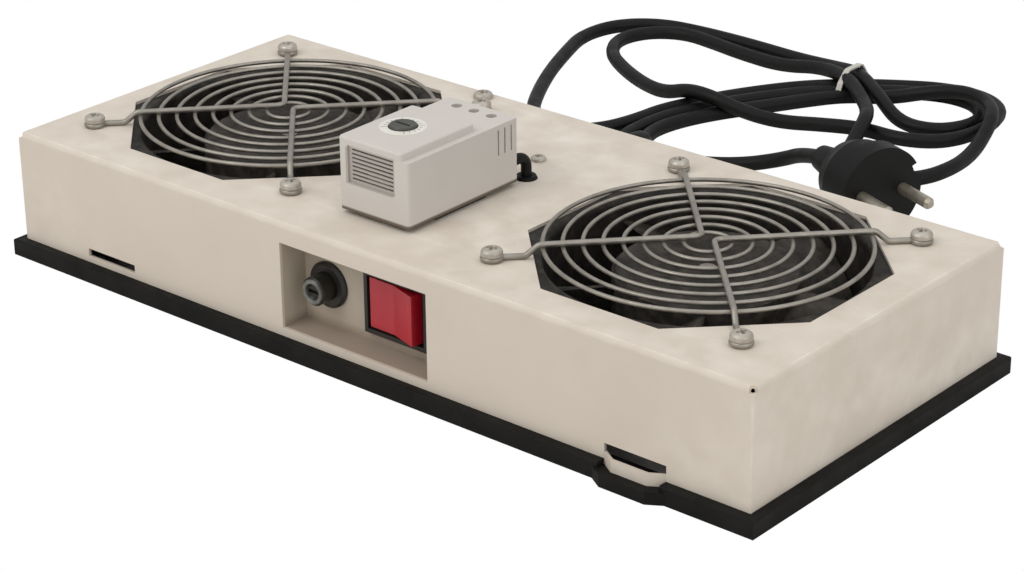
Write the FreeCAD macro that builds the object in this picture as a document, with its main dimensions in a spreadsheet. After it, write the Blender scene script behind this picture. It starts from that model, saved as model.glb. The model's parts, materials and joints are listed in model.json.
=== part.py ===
import FreeCAD, Part
import math
import os
import Sketcher
from FreeCAD import Placement, Rotation, Vector

# Rack fan tray: an inverted sheet-steel tray that carries two 120 mm axial fans, a cabinet thermostat,
# and a recessed control panel with an illuminated rocker switch and a fuse holder.
# Millimetres.  X runs along the tray, -Y is the front wall with the switch, +Z is up.
# The origin is the centre of the footprint, on the underside of the edge seal.

DRIVING_SIZES = [
    # tray
    ("tray_length", 345.4, "outside length of the folded walls"),
    ("tray_width", 146.4, "outside depth of the folded walls"),
    ("tray_top", 50.7, "height of the top sheet's upper face"),
    ("sheet", 1.2, "steel sheet thickness"),
    ("bend_radius", 2.0, "outside radius of the folds"),
    ("corner_relief_radius", 1.4, "round relief where three folds meet"),
    # edge seal
    ("seal_height", 6.6, "height of the push-on edge profile"),
    ("seal_base", 2.0, "rubber under the wall's lower edge"),
    ("seal_outside", 3.8, "how far the profile stands out of the wall"),
    ("seal_inside", 2.2, "thickness of the profile's inner leg"),
    ("seal_gap", 0.1, "clearance between wall and profile"),
    ("seal_edge_radius", 0.8, "rounding of the profile's outer edge"),
    # fans
    ("fan_left_share", 0.0957, "part of the spare length left of the left fan"),
    ("fan_right_share", 0.1245, "part of the spare length right of the right fan"),
    ("fan_rear_share", 0.1536, "part of the spare depth behind the fans, beyond the earth nut's room"),
    ("fan_square", 119.5, "side of the fan frame"),
    ("fan_depth", 38.0, "depth of the fan frame"),
    ("fan_flange", 4.0, "thickness of both frame flanges"),
    ("fan_corner_radius", 5.0, "corner radius of the frame"),
    ("fan_bore_radius", 56.5, "throat of the frame"),
    ("fan_barrel_radius", 58.6, "outside of the barrel between the flanges"),
    ("fan_inlet_radius", 2.4, "rounding of the inlet lip"),
    ("fan_hole_pitch", 104.8, "fixing hole spacing"),
    ("fixing_hole_radius", 2.15, "clearance hole for an M4 screw"),
    ("vent_flats", 119.5, "octagonal cut-out, across flats"),
    ("motor_plate_radius", 31.0, "plate that carries the motor"),
    ("strut_width", 7.0, "arm between motor plate and barrel"),
    ("bearing_tube_radius", 9.0, "outside of the bearing tube"),
    ("bearing_tube_top", 26.0, "top of the bearing tube above the frame's foot"),
    ("bearing_radius", 5.5, "outside of a bearing"),
    ("bearing_length", 5.0, "length of a bearing"),
    ("shaft_radius", 3.0, "rotor shaft"),
    ("running_gap", 0.05, "radial running clearance of shafts"),
    # rotor and motor
    ("hub_radius", 33.0, "outside of the rotor cup"),
    ("hub_wall", 1.5, "wall of the rotor cup"),
    ("hub_bottom", 7.0, "open end of the cup above the frame's foot"),
    ("hub_top", 33.5, "closed end of the cup above the frame's foot"),
    ("hub_boss_radius", 6.5, "boss that holds the shaft"),
    ("hub_boss_depth", 4.0, "boss below the cup's closed end"),
    ("blade_tip_radius", 55.4, "blade tips"),
    ("blade_thickness", 1.8, "blade thickness"),
    ("blade_root_chord", 27.0, "blade chord at the hub"),
    ("blade_tip_chord", 36.0, "blade chord at the tip"),
    ("blade_root_angle", 48.0, "blade pitch at the hub, degrees"),
    ("blade_tip_angle", 32.0, "blade pitch at the tip, degrees"),
    ("blade_middle", 20.2, "height of the blade's middle above the frame's foot"),
    ("air_gap", 0.5, "between stator and rotor cup"),
    ("stator_height", 15.0, "lamination stack"),
    ("stator_foot", 3.0, "stack above the motor plate"),
    ("winding_overhang", 2.6, "copper above and below the stack"),
    # finger guards
    ("guard_rise", 3.3, "middle of the ring wires above the sheet"),
    ("guard_outer_radius", 56.6, "largest ring, to the wire's middle"),
    ("guard_pitch", 6.9, "ring spacing"),
    ("ring_wire", 1.5, "ring wire thickness"),
    ("leg_wire_radius", 1.0, "leg wire"),
    ("leg_apex", 2.2, "bend of each leg wire from the fan's axis"),
    ("leg_bend_radius", 3.0, "bend of each leg wire at the middle"),
    ("leg_weld", 0.35, "how deep the leg wire is welded into the rings"),
    ("leg_drop", 4.2, "length over which a leg steps down to the sheet"),
    ("leg_joggle_radius", 1.6, "bend radius of that step"),
    # fasteners
    ("screw_radius", 2.0, "M4 shank"),
    ("screw_head_radius", 3.9, "M4 pan head"),
    ("screw_head_height", 2.6, "M4 pan head"),
    ("nut_flats", 7.0, "M4 nut across flats"),
    ("nut_height", 3.2, "M4 nut"),
    ("thread_gap", 0.1, "between a shank and what it passes"),
    # control recess
    ("window_length", 69.5, "opening in the front wall"),
    ("window_height", 33.2, "opening in the front wall"),
    ("window_x", 1.25, "middle of the opening"),
    ("window_z", 26.4, "middle of the opening"),
    ("recess_depth", 12.5, "front wall's face to the recess's back plate"),
    ("pan_flange", 5.5, "welding flange of the recess pan"),
    ("pan_corner_radius", 1.5, "inside corners of the recess pan"),
    # rocker switch
    ("switch_share", 0.3252, "switch from the centre towards the right fan"),
    ("switch_z", 26.3, "middle of the switch"),
    ("bezel_length", 31.0, "switch bezel"),
    ("bezel_height", 25.0, "switch bezel"),
    ("bezel_depth", 3.0, "switch bezel"),
    ("switch_body_length", 27.8, "switch body"),
    ("switch_body_height", 22.2, "switch body"),
    ("switch_body_depth", 22.0, "switch body behind the plate"),
    ("switch_well_length", 26.4, "well that the rocker tilts in"),
    ("switch_well_height", 20.6, "well that the rocker tilts in"),
    ("switch_well_depth", 11.0, "well that the rocker tilts in"),
    ("cut_out_gap", 0.2, "between a body and its cut-out, each side"),
    ("rocker_length", 23.0, "rocker cap"),
    ("rocker_height", 19.0, "rocker cap"),
    ("rocker_face", 4.2, "valley of the rocker's face in front of its pivot"),
    ("rocker_back", 1.5, "back of the rocker behind its pivot"),
    ("rocker_valley_angle", 8.0, "slope of each half of the face, degrees"),
    ("rocker_tilt", 9.0, "rest tilt from the middle, degrees"),
    ("rocker_sunk", 0.3, "valley behind the bezel's face"),
    ("rocker_pin_radius", 1.4, "pivot pins of the rocker"),
    ("lamp_radius", 1.7, "neon lamp under the rocker"),
    ("lamp_length", 9.0, "neon lamp under the rocker"),
    ("blade_terminal_width", 6.3, "tab terminal"),
    ("blade_terminal_thickness", 0.8, "tab terminal"),
    ("blade_terminal_length", 8.0, "tab terminal"),
    # fuse holder
    ("fuse_share", 0.5235, "fuse holder's axis from the left fan towards the switch bezel"),
    ("fuse_z", 25.9, "axis of the fuse holder"),
    ("fuse_flange_radius", 8.75, "flange of the fuse holder"),
    ("fuse_flange_depth", 2.0, "flange of the fuse holder"),
    ("fuse_barrel_radius", 6.0, "barrel of the fuse holder"),
    ("fuse_barrel_length", 30.0, "barrel behind the plate's face"),
    ("fuse_well_radius", 4.5, "bore for the cap's shank"),
    ("fuse_well_depth", 14.0, "bore for the cap's shank"),
    ("fuse_bore_radius", 3.0, "bore for the fuse"),
    ("fuse_cap_radius", 5.4, "knob of the cap"),
    ("fuse_cap_length", 7.0, "knob of the cap"),
    ("fuse_shank_length", 12.0, "shank of the cap"),
    ("fuse_radius", 2.5, "5 x 20 mm fuse"),
    ("fuse_length", 20.0, "5 x 20 mm fuse"),
    ("fuse_grip", 6.5, "how deep the cap holds the fuse"),
    ("fuse_nut_flats", 15.0, "fixing nut"),
    ("fuse_nut_height", 3.0, "fixing nut"),
    # thermostat
    ("thermostat_x", -6.5, "middle of the thermostat"),
    ("thermostat_y", -23.0, "middle of the thermostat"),
    ("thermostat_width", 33.0, "along X"),
    ("thermostat_length", 59.0, "along Y"),
    ("thermostat_lift", 1.8, "underside above the sheet"),
    ("thermostat_split", 12.0, "joint of base and cover above the sheet"),
    ("thermostat_shoulder", 26.4, "rear part's top above the sheet"),
    ("thermostat_step", 3.0, "dial block above the rear part"),
    ("dial_block_length", 39.0, "raised block along Y"),
    ("dial_block_inset", 3.2, "raised block's side inset"),
    ("cover_wall", 1.5, "cover wall"),
    ("cover_radius", 1.6, "rounding of the cover"),
    ("rail_width", 35.0, "mounting rail"),
    ("rail_height", 7.5, "mounting rail"),
    ("rail_web", 27.0, "mounting rail, outside of the web"),
    ("rail_thickness", 1.0, "mounting rail"),
    ("rail_gap", 0.2, "between rail and base"),
    ("dial_radius", 5.2, "setting dial"),
    ("dial_rise", 1.0, "dial above the block's top"),
    ("dial_sink", 0.8, "depth of the dial's seat"),
    ("dial_x", -10.6, "dial axis"),
    ("dial_y", -32.0, "dial axis"),
    ("spindle_radius", 2.0, "dial spindle"),
    ("spindle_length", 9.0, "dial spindle below its disc"),
    ("vent_panel_width", 22.5, "recessed vent panel in the cover's end"),
    ("vent_panel_height", 14.0, "recessed vent panel in the cover's end"),
    ("vent_panel_foot", 12.0, "foot of that panel above the sheet"),
    ("vent_slit", 0.7, "slit height"),
    # cables and rear outlet
    ("lead_radius", 2.0, "thermostat lead"),
    ("lead_x", 7.6, "where the lead goes through the sheet"),
    ("lead_y", 13.6, "where the lead goes through the sheet"),
    ("lead_height", 9.0, "lead above the sheet where it leaves the thermostat"),
    ("lead_bend", 4.5, "bend radius of the lead"),
    ("grommet_radius", 4.2, "grommet flange"),
    ("outlet_x", -28.0, "cord outlet in the rear wall"),
    ("outlet_z", 24.0, "cord outlet in the rear wall"),
    ("outlet_hole_radius", 6.3, "hole for the strain relief"),
    ("relief_flange_radius", 9.0, "strain relief flange"),
    ("relief_flange_depth", 3.0, "strain relief flange"),
    ("relief_length", 26.0, "tapered tail of the strain relief"),
    ("relief_root_radius", 6.6, "tail at the flange"),
    ("relief_tip_radius", 4.5, "tail at its end"),
    ("relief_nut_radius", 9.5, "locknut inside the wall"),
    ("relief_nut_depth", 4.0, "locknut inside the wall"),
    ("cord_radius", 3.1, "three-core mains cord"),
    # slots and lug in the front wall
    ("slot_length", 25.5, "slot near the lower edge"),
    ("slot_height", 3.2, "slot near the lower edge"),
    ("slot_z", 10.6, "middle of the slots"),
    ("slot_right_x", 126.4, "middle of the right slot"),
    ("slot_left_x", -124.0, "middle of the left slot"),
    ("lug_out", 3.4, "how far the strip under the right slot is pressed out"),
    ("lug_ramp", 5.5, "length of each of the strip's ramps"),
    ("lug_seal_height", 4.6, "height of the edge profile along that strip"),
    # wiring inside
    ("block_length", 30.0, "terminal block"),
    ("block_width", 16.0, "terminal block"),
    ("block_height", 13.0, "terminal block"),
    ("block_x", 0.0, "terminal block"),
    ("block_y", 29.6, "terminal block"),
    ("block_screw_radius", 1.5, "M3 screw of the terminal block"),
    ("earth_x", -59.0, "earth screw in the top sheet, behind the left fan"),
    # power cord and plug
    ("cord_lift", 0.1, "cord above what it lies on"),
    ("hank_height", 20.0, "height of the tied hank"),
    ("plug_length", 42.0, "plug from the cord's end to its face"),
    ("plug_tail_radius", 5.2, "cord end of the plug"),
    ("plug_neck_radius", 7.2, "end of the plug's tail"),
    ("plug_grip_radius", 16.0, "grip of the plug"),
    ("plug_disc_radius", 18.4, "face of the plug"),
    ("plug_disc_depth", 9.2, "rim behind the plug's face"),
    ("plug_groove_width", 5.6, "guide groove on each side of the plug"),
    ("plug_groove_depth", 2.4, "guide groove on each side of the plug"),
    ("pin_radius", 2.4, "plug pin"),
    ("pin_length", 19.0, "plug pin"),
    ("pin_spacing", 19.0, "between the pins' axes"),
]

BLADES = 5
STRUTS = 4
STATOR_SLOTS = 6
GUARD_RINGS = 8
VENT_SLITS = 8
SIDE_SLITS = 3


class Size:
    """A number that also knows the spreadsheet expression it comes from."""

    def __init__(self, value, text):
        self.value = float(value)
        self.text = text

    def _join(self, sign, other, swap=False):
        other = other if isinstance(other, Size) else Size(other, repr(float(other)))
        left, right = (other, self) if swap else (self, other)
        a, b = left.value, right.value
        value = {"+": a + b, "-": a - b, "*": a * b, "/": a / b if b else 0.0}[sign]
        return Size(value, "(%s %s %s)" % (left.text, sign, right.text))

    def __add__(self, other):
        return self._join("+", other)

    def __radd__(self, other):
        return self._join("+", other, swap=True)

    def __sub__(self, other):
        return self._join("-", other)

    def __rsub__(self, other):
        return self._join("-", other, swap=True)

    def __mul__(self, other):
        return self._join("*", other)

    def __rmul__(self, other):
        return self._join("*", other, swap=True)

    def __truediv__(self, other):
        return self._join("/", other)

    def __neg__(self):
        return Size(-self.value, "(0 - %s)" % self.text)


class Sizes:
    """The driving dimensions of the sheet, read as attributes."""

    def __init__(self, sheet):
        self._sheet = sheet

    def __getattr__(self, name):
        return Size(getattr(self._sheet, name), "Sizes." + name)


doc = FreeCAD.newDocument("RackFanTray")
sheet_object = doc.addObject("Spreadsheet::Sheet", "Sizes")
for row, (alias, number, meaning) in enumerate(DRIVING_SIZES, start=1):
    sheet_object.set("A%d" % row, meaning)
    sheet_object.set("B%d" % row, str(number))
    sheet_object.setAlias("B%d" % row, alias)
doc.recompute()
s = Sizes(sheet_object)
ZERO = Size(0, "0")
NODES = []


def value(size):
    return size.value if isinstance(size, Size) else float(size)


def text(size):
    return size.text if isinstance(size, Size) else repr(float(size))


# ---------------------------------------------------------------- PartDesign helpers

def new_body(label, x=ZERO, y=ZERO, z=ZERO):
    """A PartDesign body at a bound place; its label is the node's name."""
    body = doc.addObject("PartDesign::Body", "Body_" + label)
    body.Label = label
    place(body, x, y, z)
    NODES.append(body)
    return body


def place(item, x, y, z):
    item.Placement = Placement(Vector(value(x), value(y), value(z)), item.Placement.Rotation)
    item.setExpression("Placement.Base.x", text(x))
    item.setExpression("Placement.Base.y", text(y))
    item.setExpression("Placement.Base.z", text(z))


def sketch(body, role, offset=ZERO):
    """A sketch on one of the body's own origin planes, shifted along that plane's normal.

    The XZ plane's normal is -Y: an offset of 5 puts the sketch at y = -5.
    """
    plane = [item for item in body.Origin.OriginFeatures if item.Role == role][0]
    item = body.newObject("Sketcher::SketchObject", "Sketch")
    item.AttachmentSupport = [(plane, "")]
    item.MapMode = "FlatFace"
    item.AttachmentOffset = Placement(Vector(0, 0, value(offset)), Rotation())
    item.setExpression("AttachmentOffset.Base.z", text(offset))
    return item


def pin_point(item, geometry, end, x, y):
    """Ties one point of a sketch to bound coordinates."""
    for kind, size in (("DistanceX", x), ("DistanceY", y)):
        index = item.addConstraint(Sketcher.Constraint(kind, -1, 1, geometry, end, value(size)))
        item.setExpression("Constraints[%d]" % index, text(size))


def polygon(item, points):
    """A closed outline with every corner tied to bound coordinates."""
    first = item.GeometryCount
    corners = [Vector(value(x), value(y), 0) for x, y in points]
    count = len(corners)
    for number in range(count):
        item.addGeometry(Part.LineSegment(corners[number], corners[(number + 1) % count]), False)
    for number in range(count):
        follower = first + (number + 1) % count
        item.addConstraint(Sketcher.Constraint("Coincident", first + number, 2, follower, 1))
    for number, (x, y) in enumerate(points):
        pin_point(item, first + number, 1, x, y)


def rectangle(item, x, y, width, height):
    """A rectangle about its bound middle."""
    left, right = x - width / 2, x + width / 2
    low, high = y - height / 2, y + height / 2
    polygon(item, [(left, low), (right, low), (right, high), (left, high)])


def circle(item, x, y, radius):
    index = item.addGeometry(Part.Circle(Vector(value(x), value(y), 0), Vector(0, 0, 1), value(radius)), False)
    pin_point(item, index, 3, x, y)
    bound = item.addConstraint(Sketcher.Constraint("Radius", index, value(radius)))
    item.setExpression("Constraints[%d]" % bound, text(radius))


def volume(feature):
    return feature.Shape.Volume


def pad(body, item, length, reverse=False):
    feature = body.newObject("PartDesign::Pad", "Pad")
    feature.Profile = item
    feature.Length = value(length)
    feature.setExpression("Length", text(length))
    feature.Reversed = reverse
    item.Visibility = False
    doc.recompute()
    return feature


def pocket(body, item, length, reverse=False):
    """Cuts a bound depth against the sketch's normal, or along it when reversed."""
    before = volume(body.Tip)
    feature = body.newObject("PartDesign::Pocket", "Pocket")
    feature.Profile = item
    feature.Length = value(length)
    feature.setExpression("Length", text(length))
    feature.Reversed = reverse
    doc.recompute()
    if not volume(feature) < before - 1e-6:
        raise RuntimeError("%s: a pocket cuts nothing" % body.Label)
    return feature


def turn(body, item, kind, axis="V_Axis"):
    """A full revolution or groove about one of the sketch's own axes."""
    before = volume(body.Tip) if body.Tip else 0.0
    feature = body.newObject("PartDesign::" + kind, kind)
    feature.Profile = item
    feature.ReferenceAxis = (item, [axis])
    feature.Angle = 360
    doc.recompute()
    if kind == "Groove" and not volume(feature) < before - 1e-6:
        raise RuntimeError("%s: a groove cuts nothing" % body.Label)
    return feature


def round_edges(body, radius, wanted, kind="Fillet"):
    """Fillets or chamfers the edges of the tip that the test picks."""
    base = body.Tip
    names = ["Edge%d" % (n + 1) for n, edge in enumerate(base.Shape.Edges) if wanted(edge)]
    if not names:
        raise RuntimeError("%s: no edge to round" % body.Label)
    feature = body.newObject("PartDesign::" + kind, kind)
    feature.Base = (base, names)
    bound = "Radius" if kind == "Fillet" else "Size"
    setattr(feature, bound, value(radius))
    feature.setExpression(bound, text(radius))
    doc.recompute()
    return feature


def polar(body, features, count):
    """Copies features about the body's own Z axis."""
    axis = [item for item in body.Origin.OriginFeatures if item.Role == "Z_Axis"][0]
    feature = body.newObject("PartDesign::PolarPattern", "Pattern")
    feature.Originals = features
    feature.Axis = (axis, [""])
    feature.Angle = 360
    feature.Occurrences = count
    body.Tip = feature
    doc.recompute()
    return feature


def near(a, b, slack=0.01):
    return abs(a - b) < slack


def flat_at(edge, height):
    """Whether an edge lies level at one height."""
    box = edge.BoundBox
    return near(box.ZMin, height) and near(box.ZMax, height)


def upright(edge):
    box = edge.BoundBox
    return box.ZLength > 0.5 and box.XLength < 0.01 and box.YLength < 0.01


# ---------------------------------------------------------------- Part helpers

def feature_from(label, shape):
    """A plain feature for a shape that neither a sketch nor a primitive makes."""
    item = doc.addObject("Part::Feature", label)
    item.Label = label
    item.Shape = shape
    NODES.append(item)
    return item


def turned(points, axis=Vector(0, 0, 1)):
    """A solid of revolution from (radius, height) corners, its axis along Z, X or Y."""
    outline = Part.makePolygon([Vector(value(r), 0, value(z)) for r, z in points + points[:1]])
    solid = Part.Face(outline).revolve(Vector(0, 0, 0), Vector(0, 0, 1), 360)
    solid.Placement = Placement(Vector(0, 0, 0), Rotation(Vector(0, 0, 1), axis))
    return solid


def hexagon(flats, height, bore):
    """A hexagon nut standing on the XY plane."""
    reach = flats / 2 / math.cos(math.pi / 6)
    corners = [Vector(reach * math.cos(k * math.pi / 3), reach * math.sin(k * math.pi / 3), 0) for k in range(7)]
    solid = Part.Face(Part.makePolygon(corners)).extrude(Vector(0, 0, height))
    return solid.cut(Part.makeCylinder(bore, height))


def copy_at(shape, position):
    item = shape.copy()
    item.translate(position)
    return item


def box_about(x, y, z, length, width, height):
    """A block about its bound middle in X and Y, standing on z."""
    corner = Vector(value(x) - value(length) / 2, value(y) - value(width) / 2, value(z))
    return Part.makeBox(value(length), value(width), value(height), corner)


def pan_screw(head_radius, head_height, shank_radius, shank_length):
    """A pan-head screw with its head's seat at z = 0."""
    crown = head_height * 0.45
    return turned([(0, -shank_length), (shank_radius, -shank_length), (shank_radius, 0), (head_radius, 0),
                   (head_radius, head_height - crown), (head_radius * 0.62, head_height), (0, head_height)])


# ---------------------------------------------------------------- places that pieces share

half_length = s.tray_length / 2
half_width = s.tray_width / 2
sheet_underside = s.tray_top - s.sheet
fan_foot = sheet_underside - s.fan_depth
plate_front = s.recess_depth - half_width
plate_back = plate_front + s.sheet
wall_inside = half_width - s.sheet
spare_length = s.tray_length - 2 * s.sheet - 2 * s.fan_square
bay_left = s.fan_left_share * spare_length + s.fan_square - half_length + s.sheet
bay_right = half_length - s.sheet - s.fan_square - s.fan_right_share * spare_length
FAN_X = {"left": bay_left - s.fan_square / 2, "right": bay_right + s.fan_square / 2}
earth_room = s.nut_flats + s.bend_radius - s.sheet + s.thread_gap
spare_depth = s.tray_width - 2 * s.sheet - s.fan_square - earth_room
fan_back = wall_inside - earth_room - s.fan_rear_share * spare_depth
fan_y = fan_back - s.fan_square / 2
earth_y = (fan_back + wall_inside - s.bend_radius + s.sheet) / 2
switch_x = s.switch_share * bay_right
fuse_x = bay_left + s.fuse_share * (switch_x - s.bezel_length / 2 - bay_left)
CORNERS = [(-1, -1), (1, -1), (1, 1), (-1, 1)]


def octagon(x, y, flats):
    """Corners of a regular octagon whose sides lie square to the tray."""
    half = flats / 2
    cut = half * math.tan(math.pi / 8)
    steps = [(half, cut), (cut, half), (-cut, half), (-half, cut),
             (-half, -cut), (-cut, -half), (cut, -half), (half, -cut)]
    return [(x + dx, y + dy) for dx, dy in steps]


def lug_outline(gap):
    """The pressed-out strip under the right slot, seen from above, grown by a gap."""
    left = s.slot_right_x - s.slot_length / 2
    right = s.slot_right_x + s.slot_length / 2
    front = -half_width
    out = front - s.lug_out
    return [(left - gap, front - gap), (left + s.lug_ramp - gap, out - gap),
            (right - s.lug_ramp + gap, out - gap), (right + gap, front - gap),
            (right + gap, front + s.sheet + gap), (right - s.lug_ramp + gap, out + s.sheet + gap),
            (left + s.lug_ramp - gap, out + s.sheet + gap), (left - gap, front + s.sheet + gap)]


# ---------------------------------------------------------------- tray

def make_housing():
    """The folded tray: a flat top with four walls turned down, pierced and slotted."""
    body = new_body("housing")
    outline = sketch(body, "XY_Plane", s.seal_base)
    rectangle(outline, ZERO, ZERO, s.tray_length, s.tray_width)
    pad(body, outline, s.tray_top - s.seal_base)
    round_edges(body, s.bend_radius, lambda edge: flat_at(edge, s.tray_top.value))

    hollow = sketch(body, "XY_Plane", s.seal_base)
    rectangle(hollow, ZERO, ZERO, s.tray_length - 2 * s.sheet, s.tray_width - 2 * s.sheet)
    pocket(body, hollow, sheet_underside - s.seal_base, reverse=True)
    round_edges(body, s.bend_radius - s.sheet, lambda edge: flat_at(edge, sheet_underside.value))

    openings = sketch(body, "XY_Plane", s.tray_top)
    for fan_x in FAN_X.values():
        polygon(openings, octagon(fan_x, fan_y, s.vent_flats))
        for dx, dy in CORNERS:
            circle(openings, fan_x + dx * s.fan_hole_pitch / 2, fan_y + dy * s.fan_hole_pitch / 2,
                   s.fixing_hole_radius)
    circle(openings, s.lead_x, s.lead_y, s.lead_radius + s.sheet)
    circle(openings, s.block_x, s.block_y, s.block_screw_radius + s.thread_gap)
    circle(openings, s.earth_x, earth_y, s.screw_radius + s.thread_gap)
    for side in (-1, 1):
        circle(openings, s.thermostat_x + side * s.thermostat_width / 4, s.thermostat_y,
               s.block_screw_radius + s.thread_gap)
    pocket(body, openings, s.sheet * 1.5)

    reliefs = sketch(body, "XY_Plane", s.tray_top)
    inset = s.corner_relief_radius * 0.55
    for dx, dy in CORNERS:
        circle(reliefs, dx * (half_length - inset), dy * (half_width - inset), s.corner_relief_radius)
    pocket(body, reliefs, s.bend_radius * 1.2)

    front = sketch(body, "XZ_Plane", half_width)
    rectangle(front, s.window_x, s.window_z, s.window_length, s.window_height)
    rectangle(front, s.slot_left_x, s.slot_z, s.slot_length, s.slot_height)
    slot_top = s.slot_z + s.slot_height / 2
    below_rim = s.seal_base - s.sheet
    left, right = s.slot_right_x - s.slot_length / 2, s.slot_right_x + s.slot_length / 2
    polygon(front, [(left, below_rim), (right, below_rim), (right, slot_top), (left, slot_top)])
    pocket(body, front, s.sheet * 1.5)

    lug = sketch(body, "XY_Plane", s.seal_base)
    polygon(lug, lug_outline(ZERO))
    pad(body, lug, s.slot_z - s.slot_height / 2 - s.seal_base)

    rear = sketch(body, "XZ_Plane", -wall_inside)
    circle(rear, s.outlet_x, s.outlet_z, s.outlet_hole_radius)
    pocket(body, rear, s.sheet * 1.5)


def make_control_pan():
    """The recess behind the front wall: an open pan welded on by two side flanges."""
    body = new_body("control_pan")
    outer_length = s.window_length + 2 * s.sheet
    outer_height = s.window_height + 2 * s.sheet
    block = sketch(body, "XZ_Plane", wall_inside)
    rectangle(block, s.window_x, s.window_z, outer_length, outer_height)
    pad(body, block, s.recess_depth, reverse=True)
    hollow = sketch(body, "XZ_Plane", wall_inside)
    rectangle(hollow, s.window_x, s.window_z, s.window_length, s.window_height)
    pocket(body, hollow, s.recess_depth - s.sheet)
    flanges = sketch(body, "XZ_Plane", wall_inside)
    rectangle(flanges, s.window_x, s.window_z, outer_length + 2 * s.pan_flange, outer_height - 2 * s.bend_radius)
    rectangle(flanges, s.window_x, s.window_z, outer_length - s.sheet, outer_height - 2 * s.bend_radius - s.sheet)
    pad(body, flanges, s.sheet, reverse=True)
    trim = sketch(body, "XZ_Plane", wall_inside)
    rectangle(trim, s.window_x, s.window_z, s.window_length, s.window_height)
    pocket(body, trim, s.recess_depth - s.sheet)
    panel = sketch(body, "XZ_Plane", -plate_front)
    circle(panel, fuse_x, s.fuse_z, s.fuse_barrel_radius + s.cut_out_gap)
    rectangle(panel, switch_x, s.switch_z, s.switch_body_length + 2 * s.cut_out_gap,
              s.switch_body_height + 2 * s.cut_out_gap)
    pocket(body, panel, s.sheet * 1.5)


def make_edge_seal():
    """The rubber U-profile on the tray's lower rim, swollen where it passes the lug."""
    body = new_body("edge_seal")
    ring = sketch(body, "XY_Plane")
    rectangle(ring, ZERO, ZERO, s.tray_length + 2 * s.seal_outside, s.tray_width + 2 * s.seal_outside)
    leg = s.sheet + s.seal_gap + s.seal_inside
    rectangle(ring, ZERO, ZERO, s.tray_length - 2 * leg, s.tray_width - 2 * leg)
    pad(body, ring, s.seal_height)

    bulge = sketch(body, "XY_Plane")
    left = s.slot_right_x - s.slot_length / 2 - s.seal_inside
    right = s.slot_right_x + s.slot_length / 2 + s.seal_inside
    front = -half_width - s.seal_outside
    polygon(bulge, [(left, front + s.seal_gap), (left, front), (left + s.lug_ramp, front - s.lug_out),
                    (right - s.lug_ramp, front - s.lug_out), (right, front), (right, front + s.seal_gap)])
    pad(body, bulge, s.lug_seal_height)
    lowered = sketch(body, "XY_Plane", s.seal_height)
    rectangle(lowered, s.slot_right_x, front / 2 - half_width / 2, s.slot_length, s.seal_outside + s.seal_gap)
    pocket(body, lowered, s.seal_height - s.lug_seal_height)

    groove = sketch(body, "XY_Plane", s.seal_height)
    rectangle(groove, ZERO, ZERO, s.tray_length + 2 * s.seal_gap, s.tray_width + 2 * s.seal_gap)
    inner = s.sheet + s.seal_gap
    rectangle(groove, ZERO, ZERO, s.tray_length - 2 * inner, s.tray_width - 2 * inner)
    pocket(body, groove, s.seal_height - s.seal_base)
    lug_groove = sketch(body, "XY_Plane", s.seal_height)
    polygon(lug_groove, lug_outline(s.seal_gap))
    pocket(body, lug_groove, s.seal_height - s.seal_base)
    long_reach = value(half_length + s.seal_outside)
    reach = value(half_width + s.seal_outside)

    def outer_top(edge):
        middle = edge.BoundBox.Center
        outside = abs(middle.x) > long_reach - 0.01 or abs(middle.y) > reach - 0.01
        return flat_at(edge, value(s.seal_height)) and outside

    round_edges(body, s.seal_edge_radius, outer_top)


# ---------------------------------------------------------------- fans

def make_fan_frame(side):
    """The cast frame: two square flanges on a barrel, with arms to the motor plate."""
    body = new_body("fan_frame_" + side, FAN_X[side], fan_y, fan_foot)
    square = sketch(body, "XY_Plane")
    rectangle(square, ZERO, ZERO, s.fan_square, s.fan_square)
    pad(body, square, s.fan_depth)
    round_edges(body, s.fan_corner_radius, upright)

    waist = sketch(body, "XZ_Plane")
    low, high = s.fan_flange, s.fan_depth - s.fan_flange
    far = s.fan_square
    polygon(waist, [(s.fan_barrel_radius, low), (far, low), (far, high), (s.fan_barrel_radius, high)])
    turn(body, waist, "Groove")

    throat = sketch(body, "XY_Plane", s.fan_depth)
    circle(throat, ZERO, ZERO, s.fan_bore_radius)
    pocket(body, throat, s.fan_depth - s.fan_flange)
    outlet = sketch(body, "XY_Plane", s.fan_flange)
    circle(outlet, ZERO, ZERO, s.fan_bore_radius)
    circle(outlet, ZERO, ZERO, s.motor_plate_radius)
    pocket(body, outlet, s.fan_flange)

    strut = sketch(body, "XY_Plane")
    middle = (s.motor_plate_radius + s.fan_barrel_radius) / 2
    rectangle(strut, middle, ZERO, s.fan_barrel_radius - s.motor_plate_radius + s.fan_flange / 2, s.strut_width)
    arm = pad(body, strut, s.fan_flange)
    polar(body, [arm], STRUTS)

    tube = sketch(body, "XY_Plane")
    circle(tube, ZERO, ZERO, s.bearing_tube_radius)
    pad(body, tube, s.bearing_tube_top)
    bore = sketch(body, "XY_Plane", s.bearing_tube_top)
    circle(bore, ZERO, ZERO, s.bearing_radius + s.running_gap)
    pocket(body, bore, s.bearing_tube_top - s.fan_flange / 2)

    holes = sketch(body, "XY_Plane", s.fan_depth)
    for dx, dy in CORNERS:
        circle(holes, dx * s.fan_hole_pitch / 2, dy * s.fan_hole_pitch / 2, s.fixing_hole_radius)
    pocket(body, holes, s.fan_depth)

    round_edges(body, s.fan_inlet_radius, inlet_of(body))


def inlet_of(body):
    """Picks the throat's upper edge of a fan frame, wherever the body stands."""
    top = value(fan_foot) + value(s.fan_depth)

    def chosen(edge):
        level = flat_at(edge, top) or flat_at(edge, value(s.fan_depth))
        return level and isinstance(edge.Curve, Part.Circle) and near(edge.Curve.Radius, value(s.fan_bore_radius))

    return chosen


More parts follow.
